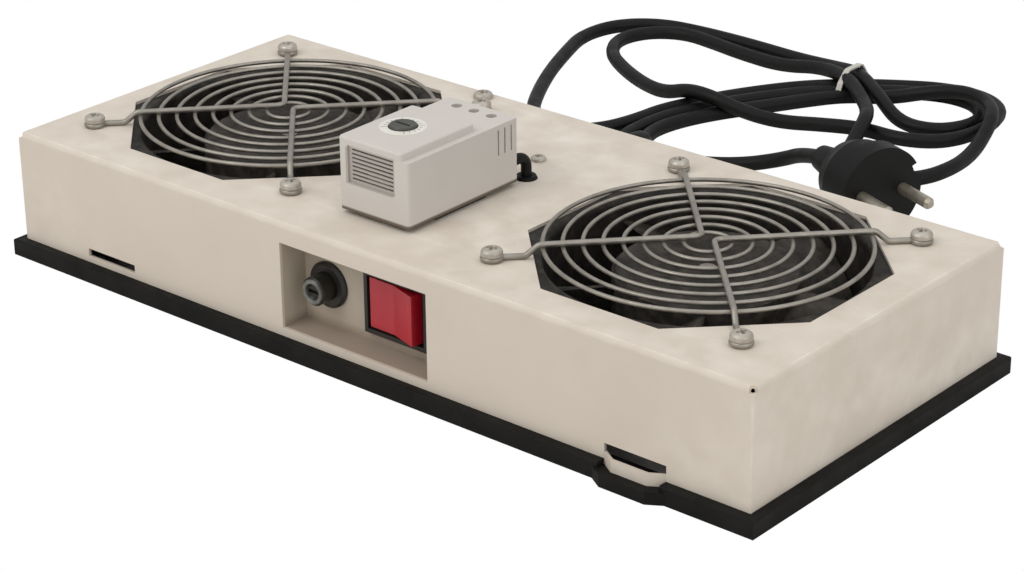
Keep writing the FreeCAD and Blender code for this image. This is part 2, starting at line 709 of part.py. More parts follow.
def blade_section(item, chord, angle):
    """A cambered blade section in a plane across the blade: along the rim and upwards."""
    tilt = math.radians(value(angle))
    half = value(chord) / 2
    half_thick = value(s.blade_thickness) / 2
    camber = value(chord) * 0.07
    middle = value(s.blade_middle)

    def at(along, across):
        u = along * math.cos(tilt) - across * math.sin(tilt)
        v = along * math.sin(tilt) + across * math.cos(tilt)
        return Vector(u, middle + v, 0)

    upper = Part.Arc(at(-half, half_thick / 2), at(0, camber + half_thick), at(half, half_thick / 2))
    nose = Part.LineSegment(at(half, half_thick / 2), at(half, -half_thick / 2))
    lower = Part.Arc(at(half, -half_thick / 2), at(0, camber - half_thick), at(-half, -half_thick / 2))
    tail = Part.LineSegment(at(-half, -half_thick / 2), at(-half, half_thick / 2))
    for number, curve in enumerate((upper, nose, lower, tail)):
        item.addGeometry(curve, False)
        item.addConstraint(Sketcher.Constraint("Block", number))


def make_fan_rotor(side):
    """The external rotor: a cup with lofted, twisted blades round it."""
    body = new_body("fan_rotor_" + side, FAN_X[side], fan_y, fan_foot)
    hub = sketch(body, "XZ_Plane")
    chamfer = s.hub_wall
    polygon(hub, [(s.shaft_radius, s.hub_bottom), (s.hub_radius, s.hub_bottom),
                  (s.hub_radius, s.hub_top - chamfer), (s.hub_radius - chamfer, s.hub_top),
                  (s.shaft_radius, s.hub_top)])
    turn(body, hub, "Revolution")

    root = sketch(body, "YZ_Plane", s.hub_radius - 3 * s.hub_wall)
    blade_section(root, s.blade_root_chord, s.blade_root_angle)
    tip = sketch(body, "YZ_Plane", s.blade_tip_radius + s.blade_thickness)
    blade_section(tip, s.blade_tip_chord, s.blade_tip_angle)
    blade = body.newObject("PartDesign::AdditiveLoft", "Blade")
    blade.Profile = root
    blade.Sections = [tip]
    blade.Ruled = True
    doc.recompute()
    polar(body, [blade], BLADES)

    rim = sketch(body, "XZ_Plane")
    far = s.blade_tip_radius + s.fan_bore_radius / 2
    polygon(rim, [(s.blade_tip_radius, ZERO), (far, ZERO), (far, s.fan_depth), (s.blade_tip_radius, s.fan_depth)])
    turn(body, rim, "Groove")
    cup = sketch(body, "XZ_Plane")
    inside = s.hub_radius - s.hub_wall
    ceiling = s.hub_top - s.hub_wall
    polygon(cup, [(s.shaft_radius, ZERO), (inside, ZERO), (inside, ceiling), (s.hub_boss_radius, ceiling),
                  (s.hub_boss_radius, ceiling - s.hub_boss_depth), (s.shaft_radius, ceiling - s.hub_boss_depth)])
    turn(body, cup, "Groove")


def make_fan_motor(side):
    """Shaft, two bearings, lamination stack and windings inside the rotor cup."""
    x, y, foot = value(FAN_X[side]), value(fan_y), value(fan_foot)
    shaft = doc.addObject("Part::Cylinder", "fan_shaft_" + side)
    shaft.Label = "fan_shaft_" + side
    shaft.setExpression("Radius", text(s.shaft_radius))
    shaft.setExpression("Height", text(s.hub_top - s.fan_flange))
    place(shaft, FAN_X[side], fan_y, fan_foot + s.fan_flange)
    NODES.append(shaft)

    bore = s.shaft_radius + s.running_gap
    ring = turned([(bore, 0), (s.bearing_radius, 0), (s.bearing_radius, s.bearing_length), (bore, s.bearing_length)])
    lower = value(s.fan_flange) + value(s.fan_flange) / 4
    upper = value(s.bearing_tube_top) - value(s.bearing_length)
    bearings = [copy_at(ring, Vector(x, y, foot + height)) for height in (lower, upper)]
    feature_from("fan_bearings_" + side, Part.makeCompound(bearings))

    body = new_body("fan_stator_" + side, FAN_X[side], fan_y, fan_foot)
    stack = sketch(body, "XY_Plane", s.fan_flange + s.stator_foot)
    outside = s.hub_radius - s.hub_wall - s.air_gap
    circle(stack, ZERO, ZERO, outside)
    circle(stack, ZERO, ZERO, s.bearing_tube_radius + s.running_gap)
    pad(body, stack, s.stator_height)
    slot = sketch(body, "XY_Plane", s.fan_flange + s.stator_foot + s.stator_height)
    circle(slot, outside * 0.66, ZERO, outside * 0.17)
    throat = outside * 0.04
    polygon(slot, [(outside * 0.88, -throat), (outside * 1.1, -throat), (outside * 1.1, throat),
                   (outside * 0.88, throat)])
    first = pocket(body, slot, s.stator_height)
    polar(body, [first], STATOR_SLOTS)

    coils = []
    stack_foot = foot + value(s.fan_flange) + value(s.stator_foot)
    coil_radius = value(outside) * 0.66
    for height in (stack_foot - value(s.winding_overhang), stack_foot + value(s.stator_height)):
        coil = turned([(coil_radius * 0.7, 0), (coil_radius * 1.25, 0), (coil_radius * 1.25, s.winding_overhang),
                       (coil_radius * 0.7, s.winding_overhang)])
        coils.append(copy_at(coil, Vector(x, y, height)))
    feature_from("fan_windings_" + side, Part.makeCompound(coils))


def leg_arm(direction_x, direction_y, side_sign):
    """The wire's route from the middle bend out to the loop round a screw."""
    diagonal = Vector(direction_x, direction_y, 0).normalize()
    high = value(s.tray_top) + value(s.guard_rise) + value(s.ring_wire) / 2 + value(s.leg_wire_radius)
    high -= value(s.leg_weld)
    low = value(s.tray_top) + value(s.leg_wire_radius)
    screw = value(s.fan_hole_pitch) / 2 * math.sqrt(2)
    loop = value(s.screw_radius) + value(s.leg_wire_radius) + value(s.thread_gap)
    drop_from = value(s.guard_outer_radius) + value(s.ring_wire)
    drop_to = drop_from + value(s.leg_drop)
    apex = Vector(side_sign * value(s.leg_apex), 0, high)
    return [apex, diagonal * drop_from + Vector(0, 0, high), diagonal * drop_to + Vector(0, 0, low),
            diagonal * (screw - loop) + Vector(0, 0, low)]


def rounded_path(points, radii):
    """Straight runs joined by tangent arcs of the given radii, one per inner point."""
    edges = []
    start = points[0]
    for number in range(1, len(points) - 1):
        before = (points[number - 1] - points[number]).normalize()
        after = (points[number + 1] - points[number]).normalize()
        half = before.getAngle(after) / 2
        radius = radii[number - 1]
        cut = radius / math.tan(half)
        first = points[number] + before * cut
        last = points[number] + after * cut
        centre = points[number] + (before + after).normalize() * (radius / math.sin(half))
        middle = centre + (points[number] - centre).normalize() * radius
        if (first - start).Length > 1e-6:
            edges.append(Part.LineSegment(start, first).toShape())
        edges.append(Part.Arc(first, middle, last).toShape())
        start = last
    edges.append(Part.LineSegment(start, points[-1]).toShape())
    return Part.Wire(edges)


def pipe(path, radius):
    """A round bar along a wire."""
    first = path.Edges[0]
    direction = first.tangentAt(first.FirstParameter)
    start = first.valueAt(first.FirstParameter)
    profile = Part.Wire(Part.makeCircle(radius, start, direction))
    return path.makePipeShell([profile], True, False)


def square_bar(path, width):
    """A square bar along a wire, for the many wires of the guards, where a round one takes ten times the faces."""
    first = path.Edges[0]
    start = first.valueAt(first.FirstParameter)
    along = first.tangentAt(first.FirstParameter)
    across = along.cross(Vector(0, 0, 1)).normalize() * (width / 2)
    upwards = across.cross(along).normalize() * (width / 2)
    corners = [start + across + upwards, start - across + upwards, start - across - upwards, start + across - upwards]
    return path.makePipeShell([Part.makePolygon(corners + corners[:1])], True, False)


def square_ring(radius, height, width):
    """A ring of square wire about the Z axis, its wire's middle at the radius and height."""
    half = width / 2
    return turned([(radius - half, height - half), (radius + half, height - half),
                   (radius + half, height + half), (radius - half, height + half)])


def make_guard(side):
    """The wire finger guard: concentric rings on two bent leg wires that end in screw loops."""
    wires = []
    for number in range(GUARD_RINGS):
        radius = value(s.guard_outer_radius) - number * value(s.guard_pitch)
        wires.append(square_ring(radius, value(s.tray_top) + value(s.guard_rise), value(s.ring_wire)))
    loop_radius = value(s.screw_radius) + value(s.leg_wire_radius) + value(s.thread_gap)
    screw = value(s.fan_hole_pitch) / 2
    low = value(s.tray_top) + value(s.leg_wire_radius)
    joggle = value(s.leg_joggle_radius)
    for sign in (-1, 1):
        front = leg_arm(sign, -1, sign)
        back = leg_arm(sign, 1, sign)
        points = front[:0:-1] + [front[0]] + back[1:]
        path = rounded_path(points, [joggle, joggle, value(s.leg_bend_radius), joggle, joggle])
        wires.append(square_bar(path, 2 * value(s.leg_wire_radius)))
        for end in (-1, 1):
            loop = square_ring(loop_radius, low, 2 * value(s.leg_wire_radius))
            wires.append(copy_at(loop, Vector(sign * screw, end * screw, 0)))
    guard = wires[0].multiFuse(wires[1:]).removeSplitter()
    guard.translate(Vector(value(FAN_X[side]), value(fan_y), 0))
    feature_from("finger_guard_" + side, guard)


def make_fan_fasteners(side):
    """Four screws through guard loop, sheet and frame flange, each with a nut below."""
    x, y = value(FAN_X[side]), value(fan_y)
    seat = value(s.tray_top) + 2 * value(s.leg_wire_radius)
    nut_top = value(sheet_underside) - value(s.fan_flange)
    shank = seat - nut_top + value(s.nut_height) + value(s.thread_gap) * 5
    screw = pan_screw(value(s.screw_head_radius), value(s.screw_head_height), value(s.screw_radius), shank)
    nut = hexagon(value(s.nut_flats), value(s.nut_height), value(s.screw_radius) + value(s.thread_gap))
    reach = value(s.fan_hole_pitch) / 2
    spots = [(x + dx * reach, y + dy * reach) for dx, dy in CORNERS]
    screws = [copy_at(screw, Vector(px, py, seat)) for px, py in spots]
    nuts = [copy_at(nut, Vector(px, py, nut_top - value(s.nut_height))) for px, py in spots]
    feature_from("guard_screws_" + side, Part.makeCompound(screws))
    feature_from("guard_nuts_" + side, Part.makeCompound(nuts))


# ---------------------------------------------------------------- rocker switch

def make_switch():
    """Snap-in switch: bezel and body, rocker on its pins, neon lamp and tab terminals."""
    front = plate_front - s.bezel_depth
    body = new_body("switch_body")
    bezel = sketch(body, "XZ_Plane", -front)
    rectangle(bezel, switch_x, s.switch_z, s.bezel_length, s.bezel_height)
    pad(body, bezel, s.bezel_depth, reverse=True)
    round_edges(body, s.cut_out_gap * 4, lambda edge: near(edge.BoundBox.YMax, front.value)
                and near(edge.BoundBox.YMin, front.value), kind="Chamfer")
    case = sketch(body, "XZ_Plane", -plate_front)
    rectangle(case, switch_x, s.switch_z, s.switch_body_length, s.switch_body_height)
    pad(body, case, s.switch_body_depth, reverse=True)
    well = sketch(body, "XZ_Plane", -front)
    rectangle(well, switch_x, s.switch_z, s.switch_well_length, s.switch_well_height)
    pocket(body, well, s.switch_well_depth)
    pivot_y = front + s.rocker_sunk + s.rocker_face
    pins = sketch(body, "XY_Plane", s.switch_z - s.switch_body_height / 2)
    circle(pins, switch_x, pivot_y, s.rocker_pin_radius + s.running_gap)
    pocket(body, pins, s.switch_body_height, reverse=True)

    rocker = new_body("switch_rocker", switch_x, pivot_y, s.switch_z)
    rocker.Placement = Placement(rocker.Placement.Base, Rotation(Vector(0, 0, 1), -value(s.rocker_tilt)))
    rise = s.rocker_length / 2 * math.tan(math.radians(value(s.rocker_valley_angle)))
    half = s.rocker_length / 2
    outline = sketch(rocker, "XY_Plane", -s.rocker_height / 2)
    polygon(outline, [(-half, -s.rocker_face - rise), (ZERO, -s.rocker_face), (half, -s.rocker_face - rise),
                      (half, -s.rocker_back / 2), (half - s.rocker_back * 2, s.rocker_back),
                      (s.rocker_back * 2 - half, s.rocker_back), (-half, -s.rocker_back / 2)])
    pad(rocker, outline, s.rocker_height)
    stubs = sketch(rocker, "XY_Plane", -s.switch_body_height / 2 + s.cut_out_gap)
    circle(stubs, ZERO, ZERO, s.rocker_pin_radius)
    pad(rocker, stubs, s.switch_body_height - 2 * s.cut_out_gap)

    lamp = doc.addObject("Part::Cylinder", "switch_lamp")
    lamp.Label = "switch_lamp"
    lamp.setExpression("Radius", text(s.lamp_radius))
    lamp.setExpression("Height", text(s.lamp_length))
    place(lamp, switch_x, front + s.switch_well_depth - s.lamp_radius, s.switch_z - s.lamp_length / 2)
    NODES.append(lamp)

    tabs = []
    rear = value(plate_front + s.switch_body_depth)
    for column in (-1, 0, 1):
        for row in (-1, 1):
            tab_x = value(switch_x) + column * value(s.switch_body_length) * 0.3
            tab_z = value(s.switch_z) + row * value(s.switch_body_height) * 0.25
            tab = Part.makeBox(value(s.blade_terminal_thickness), value(s.blade_terminal_length),
                               value(s.blade_terminal_width),
                               Vector(tab_x - value(s.blade_terminal_thickness) / 2, rear,
                                      tab_z - value(s.blade_terminal_width) / 2))
            tabs.append(tab)
    feature_from("switch_terminals", Part.makeCompound(tabs))


# ---------------------------------------------------------------- fuse holder

def along_y(points):
    """A turned feature whose axis is the fuse axis; its heights are Y positions."""
    outline = Part.makePolygon([Vector(value(r), value(y), 0) for r, y in points + points[:1]])
    solid = Part.Face(outline).revolve(Vector(0, 0, 0), Vector(0, 1, 0), 360)
    solid.translate(Vector(value(fuse_x), 0, value(s.fuse_z)))
    return solid


def make_fuse_holder():
    """Panel fuse holder with a bayonet cap, its fuse, fixing nut and solder tags."""
    front = plate_front - s.fuse_flange_depth
    rear = plate_front + s.fuse_barrel_length
    well_end = front + s.fuse_well_depth
    knob_back = front - s.running_gap * 6
    shank_end = front + s.fuse_shank_length
    fuse_start = shank_end - s.fuse_grip
    fuse_end = fuse_start + s.fuse_length
    bore_end = fuse_end + s.thread_gap
    body = new_body("fuse_holder_body", fuse_x, ZERO, s.fuse_z)
    profile = sketch(body, "XY_Plane")
    lip = s.fuse_flange_depth / 2
    polygon(profile, [(s.fuse_well_radius, front), (s.fuse_flange_radius - lip, front),
                      (s.fuse_flange_radius, front + lip), (s.fuse_flange_radius, plate_front),
                      (s.fuse_barrel_radius, plate_front), (s.fuse_barrel_radius, rear), (ZERO, rear),
                      (ZERO, bore_end), (s.fuse_bore_radius, bore_end), (s.fuse_bore_radius, well_end),
                      (s.fuse_well_radius, well_end)])
    turn(body, profile, "Revolution")

    cap = new_body("fuse_cap", fuse_x, ZERO, s.fuse_z)
    knob = sketch(cap, "XY_Plane")
    face = knob_back - s.fuse_cap_length
    shank = s.fuse_well_radius - s.running_gap
    seat = s.fuse_radius + s.running_gap
    dish = s.fuse_cap_radius - s.fuse_flange_depth
    polygon(knob, [(ZERO, face + lip), (dish - lip, face + lip), (dish, face), (s.fuse_cap_radius - lip, face),
                   (s.fuse_cap_radius, face + lip), (s.fuse_cap_radius, knob_back), (shank, knob_back),
                   (shank, shank_end), (seat, shank_end), (seat, fuse_start), (ZERO, fuse_start)])
    turn(cap, knob, "Revolution")
    slot = sketch(cap, "XZ_Plane", -face)
    rectangle(slot, ZERO, ZERO, 2 * dish - s.fuse_flange_depth, lip * 1.3)
    pocket(cap, slot, s.fuse_flange_depth)

    cap_length = value(s.fuse_length) / 4
    start, end = value(fuse_start), value(fuse_end)
    glass = along_y([(0, start + cap_length), (s.fuse_radius * 0.94, start + cap_length),
                     (s.fuse_radius * 0.94, end - cap_length), (0, end - cap_length)])
    ends = [along_y([(0, low), (s.fuse_radius, low), (s.fuse_radius, low + cap_length), (0, low + cap_length)])
            for low in (start, end - cap_length)]
    feature_from("fuse_link", Part.makeCompound([glass] + ends))

    nut = hexagon(value(s.fuse_nut_flats), value(s.fuse_nut_height), value(s.fuse_barrel_radius + s.thread_gap))
    nut.Placement = Placement(Vector(value(fuse_x), value(plate_back), value(s.fuse_z)),
                              Rotation(Vector(0, 0, 1), Vector(0, 1, 0)))
    feature_from("fuse_holder_nut", nut)

    tag_x = value(fuse_x) - value(s.blade_terminal_width) / 2
    thickness = value(s.blade_terminal_thickness)
    rear_tag = Part.makeBox(value(s.blade_terminal_width), value(s.blade_terminal_length), thickness,
                            Vector(tag_x, value(rear), value(s.fuse_z) - thickness / 2))
    side_width = value(s.blade_terminal_width) * 0.7
    side_tag = Part.makeBox(side_width, thickness, value(s.blade_terminal_length) + thickness,
                            Vector(value(fuse_x) - side_width / 2, value(rear) - value(s.fuse_barrel_radius),
                                   value(s.fuse_z + s.fuse_barrel_radius) - thickness))
    feature_from("fuse_terminals", Part.makeCompound([rear_tag, side_tag]))


# ---------------------------------------------------------------- thermostat

def make_thermostat():
    """Cabinet thermostat clipped on a short mounting rail on the top sheet."""
    top = s.tray_top
    x, y = s.thermostat_x, s.thermostat_y
    rail = new_body("thermostat_rail", x, y, top)
    rail_length = s.thermostat_width - 2 * s.cover_wall - 2 * s.rail_gap
    profile = sketch(rail, "YZ_Plane", -rail_length / 2)
    web, lip, thick = s.rail_web / 2, s.rail_width / 2, s.rail_thickness
    high = s.rail_height
    polygon(profile, [(-web, ZERO), (web, ZERO), (web, high - thick), (lip, high - thick), (lip, high),
                      (web - thick, high), (web - thick, thick), (thick - web, thick), (thick - web, high),
                      (-lip, high), (-lip, high - thick), (-web, high - thick)])
    pad(rail, profile, rail_length)
    holes = sketch(rail, "XY_Plane", thick)
    for side in (-1, 1):
        circle(holes, side * s.thermostat_width / 4, ZERO, s.block_screw_radius + s.thread_gap)
    pocket(rail, holes, thick)

    rail_screw = pan_screw(value(s.screw_head_radius) * 0.75, value(s.screw_head_height) * 0.7,
                           value(s.block_screw_radius), value(thick + s.sheet) + value(s.nut_height))
    rail_nut = hexagon(value(s.nut_flats) * 0.8, value(s.nut_height) * 0.7, value(s.block_screw_radius + s.thread_gap))
    screws, nuts = [], []
    for side in (-1, 1):
        spot = Vector(value(x) + side * value(s.thermostat_width) / 4, value(y), 0)
        screws.append(copy_at(rail_screw, spot + Vector(0, 0, value(top + thick))))
        nuts.append(copy_at(rail_nut, spot + Vector(0, 0, value(sheet_underside) - value(s.nut_height) * 0.7)))
    feature_from("rail_screws", Part.makeCompound(screws))
    feature_from("rail_nuts", Part.makeCompound(nuts))

    base = new_body("thermostat_base", x, y, top)
    block = sketch(base, "XY_Plane", s.thermostat_lift)
    rectangle(block, ZERO, ZERO, s.thermostat_width, s.thermostat_length)
    pad(base, block, s.thermostat_split - s.thermostat_lift)
    round_edges(base, s.cover_radius, upright)
    channel = sketch(base, "YZ_Plane", s.cover_wall - s.thermostat_width / 2)
    narrow, wide = web + s.rail_gap, lip + s.rail_gap
    hook, ceiling = high - thick - s.rail_gap, high + s.rail_gap
    polygon(channel, [(-narrow, ZERO), (narrow, ZERO), (narrow, hook), (wide, hook), (wide, ceiling),
                      (-wide, ceiling), (-wide, hook), (-narrow, hook)])
    pocket(base, channel, s.thermostat_width - 2 * s.cover_wall, reverse=True)

    cover = new_body("thermostat_cover", x, y, top)
    lower = sketch(cover, "XY_Plane", s.thermostat_split)
    rectangle(lower, ZERO, ZERO, s.thermostat_width, s.thermostat_length)
    pad(cover, lower, s.thermostat_shoulder - s.thermostat_split)
    raised = sketch(cover, "XY_Plane", s.thermostat_shoulder)
    block_back = s.dial_block_length - s.thermostat_length / 2
    left, right = -s.thermostat_width / 2, s.thermostat_width / 2 - s.dial_block_inset
    front_edge = -s.thermostat_length / 2
    polygon(raised, [(left, front_edge), (right, front_edge), (right, block_back), (left, block_back)])
    pad(cover, raised, s.thermostat_step)
    block_top = s.thermostat_shoulder + s.thermostat_step
    round_edges(cover, s.cover_radius, upright)

    def crest(edge):
        return flat_at(edge, value(block_top)) or flat_at(edge, value(block_top + top))

    round_edges(cover, s.cover_radius * 0.6, crest)
    hollow = sketch(cover, "XY_Plane", s.thermostat_split)
    rectangle(hollow, ZERO, ZERO, s.thermostat_width - 2 * s.cover_wall, s.thermostat_length - 2 * s.cover_wall)
    pocket(cover, hollow, s.thermostat_shoulder - s.thermostat_split - s.cover_wall, reverse=True)

    panel_z = s.vent_panel_foot + s.vent_panel_height / 2
    panel = sketch(cover, "XZ_Plane", s.thermostat_length / 2)
    rectangle(panel, -s.cover_wall / 2, panel_z + s.cover_wall / 2, s.vent_panel_width, s.vent_panel_height)
    pocket(cover, panel, s.cover_wall / 2)
    slits = sketch(cover, "XZ_Plane", s.thermostat_length / 2)
    pitch = s.vent_panel_height / (VENT_SLITS + 1)
    for number in range(VENT_SLITS):
        slit_z = s.vent_panel_foot + pitch * (number + 1) + s.cover_wall / 2
        rectangle(slits, -s.cover_wall / 2, slit_z, s.vent_panel_width - 2 * s.cover_wall, s.vent_slit)
    pocket(cover, slits, 2 * s.cover_wall)
    flank = sketch(cover, "YZ_Plane", s.thermostat_width / 2)
    for number in range(SIDE_SLITS):
        slit_y = s.thermostat_length / 2 - s.cover_radius * (2 + 2.2 * number) - s.vent_slit
        rectangle(flank, slit_y, panel_z + s.vent_slit, s.vent_slit, s.vent_panel_height * 0.7)
    pocket(cover, flank, s.cover_wall * 1.5)

    access = sketch(cover, "XY_Plane", s.thermostat_shoulder)
    for column in (-1, 0, 1):
        circle(access, column * s.thermostat_width / 4, s.thermostat_length / 2 - s.dial_radius,
               s.spindle_radius)
    pocket(cover, access, s.cover_wall * 1.5)
    seat = sketch(cover, "XY_Plane", block_top)
    circle(seat, s.dial_x - x, s.dial_y - y, s.dial_radius + s.rail_gap * 2)
    pocket(cover, seat, s.dial_sink)
    spindle_hole = sketch(cover, "XY_Plane", block_top)
    circle(spindle_hole, s.dial_x - x, s.dial_y - y, s.spindle_radius + s.running_gap)
    pocket(cover, spindle_hole, s.thermostat_step + 2 * s.cover_wall)

    dial = new_body("thermostat_dial", s.dial_x, s.dial_y, top)
    disc = sketch(dial, "XZ_Plane")
    disc_foot = block_top - s.dial_sink + s.rail_gap
    disc_top = block_top + s.dial_rise
    bevel = s.dial_rise / 2
    spindle_end = disc_foot - s.spindle_length
    polygon(disc, [(ZERO, spindle_end), (s.spindle_radius, spindle_end), (s.spindle_radius, disc_foot),
                   (s.dial_radius, disc_foot), (s.dial_radius, disc_top - bevel), (s.dial_radius - bevel, disc_top),
                   (ZERO, disc_top)])
    turn(dial, disc, "Revolution")
    driver = sketch(dial, "XY_Plane", disc_top)
    rectangle(driver, ZERO, ZERO, s.dial_radius * 1.3, s.dial_rise)
    pocket(dial, driver, s.dial_rise)

    make_thermostat_works()


def make_thermostat_works():
    """Bimetal spring, snap contact block and clamp terminals inside the thermostat."""
    top = value(s.tray_top)
    floor = top + value(s.thermostat_split)
    x, y = value(s.thermostat_x), value(s.thermostat_y)
    length, width, wall = value(s.thermostat_length), value(s.thermostat_width), value(s.cover_wall)
    post = box_about(x, y - length / 2 + 3 * wall, floor, width * 0.3, wall * 2, wall * 3)
    strip = box_about(x, y - length / 2 + 2 * wall + length * 0.28, floor + wall * 3, width * 0.24, length * 0.56,
                      wall * 0.5)
    feature_from("thermostat_bimetal", post.fuse(strip))
    block = box_about(x, y + length * 0.31, floor, width - 4 * wall, length * 0.24, wall * 4)
    feature_from("thermostat_contact_block", block)
    clamps = []
    for column in (-1, 0, 1):
        spot = Vector(x + column * width / 4, y + length / 2 - value(s.dial_radius), floor + wall * 4)
        plate = Part.makeBox(width * 0.17, length * 0.12, wall * 0.6,
                             spot - Vector(width * 0.085, length * 0.06, 0))
        head = copy_at(Part.makeCylinder(value(s.spindle_radius) * 0.9, wall), spot + Vector(0, 0, wall * 0.6))
        clamps.append(plate.fuse(head))
    feature_from("thermostat_terminals", Part.makeCompound(clamps))


# ---------------------------------------------------------------- cables, outlet and wiring

def make_lead():
    """The thermostat's sheathed lead down through a grommet in the top sheet."""
    top = value(s.tray_top)
    rear = value(s.thermostat_y) + value(s.thermostat_length) / 2
    start = Vector(value(s.lead_x), rear, top + value(s.lead_height) - value(s.thread_gap))
    corner = Vector(value(s.lead_x), value(s.lead_y), start.z)
    inside = value(sheet_underside) - value(s.block_height) * 0.4
    end = Vector(value(s.lead_x), value(s.lead_y), inside)
    path = rounded_path([start, corner, end], [value(s.lead_bend)])
    feature_from("thermostat_lead", pipe(path, value(s.lead_radius)))
    bore = s.lead_radius + s.running_gap
    neck = s.lead_radius + s.sheet - s.running_gap
    grommet = turned([(bore, -2 * s.sheet), (neck + s.sheet, -2 * s.sheet), (neck + s.sheet, -s.sheet),
                      (neck, -s.sheet), (neck, 0), (s.grommet_radius, 0), (s.grommet_radius - s.sheet / 2, s.sheet),
                      (bore, s.sheet)])
    feature_from("lead_grommet", copy_at(grommet, Vector(value(s.lead_x), value(s.lead_y), top)))


def make_outlet():
    """Tapered strain relief in the rear wall with its locknut inside."""
    body = new_body("strain_relief", s.outlet_x, half_width, s.outlet_z)
    profile = sketch(body, "XY_Plane")
    flange, tip = s.relief_flange_depth, s.relief_flange_depth + s.relief_length
    neck = s.outlet_hole_radius - s.thread_gap
    inner = -s.sheet - s.relief_nut_depth - s.relief_flange_depth / 2
    polygon(profile, [(ZERO, inner), (neck, inner), (neck, ZERO), (s.relief_flange_radius, ZERO),
                      (s.relief_flange_radius, flange * 0.7), (s.relief_flange_radius - flange * 0.3, flange),
                      (s.relief_root_radius, flange), (s.relief_tip_radius, tip), (ZERO, tip)])
    turn(body, profile, "Revolution")
    nut = turned([(neck + s.thread_gap, 0), (s.relief_nut_radius, 0), (s.relief_nut_radius, s.relief_nut_depth),
                  (neck + s.thread_gap, s.relief_nut_depth)], Vector(0, -1, 0))
    nut.translate(Vector(value(s.outlet_x), value(wall_inside), value(s.outlet_z)))
    feature_from("relief_locknut", nut)


def make_wiring():
    """Terminal block and earth point under the top sheet, with the leads between the parts."""
    block_foot = sheet_underside - s.block_height
    body = new_body("terminal_block", s.block_x, s.block_y, block_foot)
    base = sketch(body, "XY_Plane")
    rectangle(base, ZERO, ZERO, s.block_length, s.block_width)
    pad(body, base, s.block_height)
    poles = sketch(body, "XZ_Plane", s.block_width / 2)
    for column in (-1, 0, 1):
        circle(poles, column * s.block_length / 3, s.block_height / 2, s.lead_radius)
    pocket(body, poles, s.block_width * 0.4)
    hole = sketch(body, "XY_Plane")
    circle(hole, ZERO, ZERO, s.block_screw_radius + s.thread_gap)
    pocket(body, hole, s.block_height, reverse=True)

    length = value(s.block_height + s.sheet)
    screw = pan_screw(value(s.screw_head_radius) * 0.75, value(s.screw_head_height) * 0.7,
                      value(s.block_screw_radius), length)
    feature_from("block_screw", copy_at(screw, Vector(value(s.block_x), value(s.block_y), value(s.tray_top))))

    earth = pan_screw(value(s.screw_head_radius), value(s.screw_head_height), value(s.screw_radius),
                      value(s.sheet) + 3 * value(s.nut_height))
    spot = Vector(value(s.earth_x), value(earth_y), 0)
    feature_from("earth_screw", copy_at(earth, spot + Vector(0, 0, value(s.tray_top))))
    nut = hexagon(value(s.nut_flats), value(s.nut_height), value(s.screw_radius) + value(s.thread_gap))
    feature_from("earth_nut", copy_at(nut, spot + Vector(0, 0, value(sheet_underside - s.nut_height))))


# ---------------------------------------------------------------- power cord

CORD_FLOOR = value(s.cord_radius + s.cord_lift)
OUTLET_TIP = Vector(value(s.outlet_x), value(half_width + s.relief_flange_depth + s.relief_length), value(s.outlet_z))
LEAD_ROUTE = [OUTLET_TIP, Vector(-28, 130, 24), Vector(-47, 150, 13.5), Vector(-76, 152, CORD_FLOOR),
              Vector(-104, 155, CORD_FLOOR), Vector(-126, 170, CORD_FLOOR), Vector(-139, 192, CORD_FLOOR),
              Vector(-150, 214, CORD_FLOOR), Vector(-150, 237, CORD_FLOOR)]
PLUG_FRONT = Vector(74, 149, 18.6)
PLUG_AXIS = Vector(0.929, -0.371, 0).normalize()
PLUG_BACK = PLUG_FRONT - PLUG_AXIS * value(s.plug_length)
PLUG_ROUTE = [Vector(-52, 171, CORD_FLOOR), Vector(-34, 171, CORD_FLOOR), Vector(-12, 175, CORD_FLOOR),
              Vector(6, 177, 7.5), Vector(20, 172, 14.5), PLUG_BACK + PLUG_AXIS]
HANK_OUTLINE = [Vector(-162, 237, 0), Vector(-161, 264, 0), Vector(-146, 293, 0), Vector(-104, 299, 0),
                Vector(-22, 294, 0), Vector(24, 300, 0), Vector(56, 291, 0), Vector(63, 262, 0),
                Vector(58, 212, 0), Vector(30, 202, 0), Vector(-10, 206, 0), Vector(-36, 200, 0),
                Vector(-52, 182, 0), Vector(-52, 164, 0), Vector(-100, 164, 0), Vector(-96, 185, 0),
                Vector(-104, 206, 0), Vector(-132, 224, 0), Vector(-140, 237, 0)]


def cord_tube(label, points):
    """A cord along straight runs joined by arcs as large as the shorter run allows."""
    radii = []
    for number in range(1, len(points) - 1):
        before, after = points[number] - points[number - 1], points[number + 1] - points[number]
        turning = before.getAngle(after)
        radii.append(0.45 * min(before.Length, after.Length) / math.tan(turning / 2))
    path = rounded_path(points, radii)
    tube = pipe(path, value(s.cord_radius))
    expected = math.pi * value(s.cord_radius) ** 2 * path.Length
    print(label, "length %.1f" % path.Length, "volume ratio %.5f" % (tube.Volume / expected),
          "radii", [round(radius, 1) for radius in radii])
    feature_from(label, tube)
    return path.Length


def make_cord():
    """Mains cord: lead from the outlet, tied hank behind the tray, lead to the plug."""
    cord_tube("cord_lead", LEAD_ROUTE)
    outline = Part.makePolygon(HANK_OUTLINE + HANK_OUTLINE[:1])
    hank = Part.Face(outline).extrude(Vector(0, 0, value(s.hank_height)))
    feature_from("cord_hank", hank)
    cord_tube("cord_plug_lead", PLUG_ROUTE)


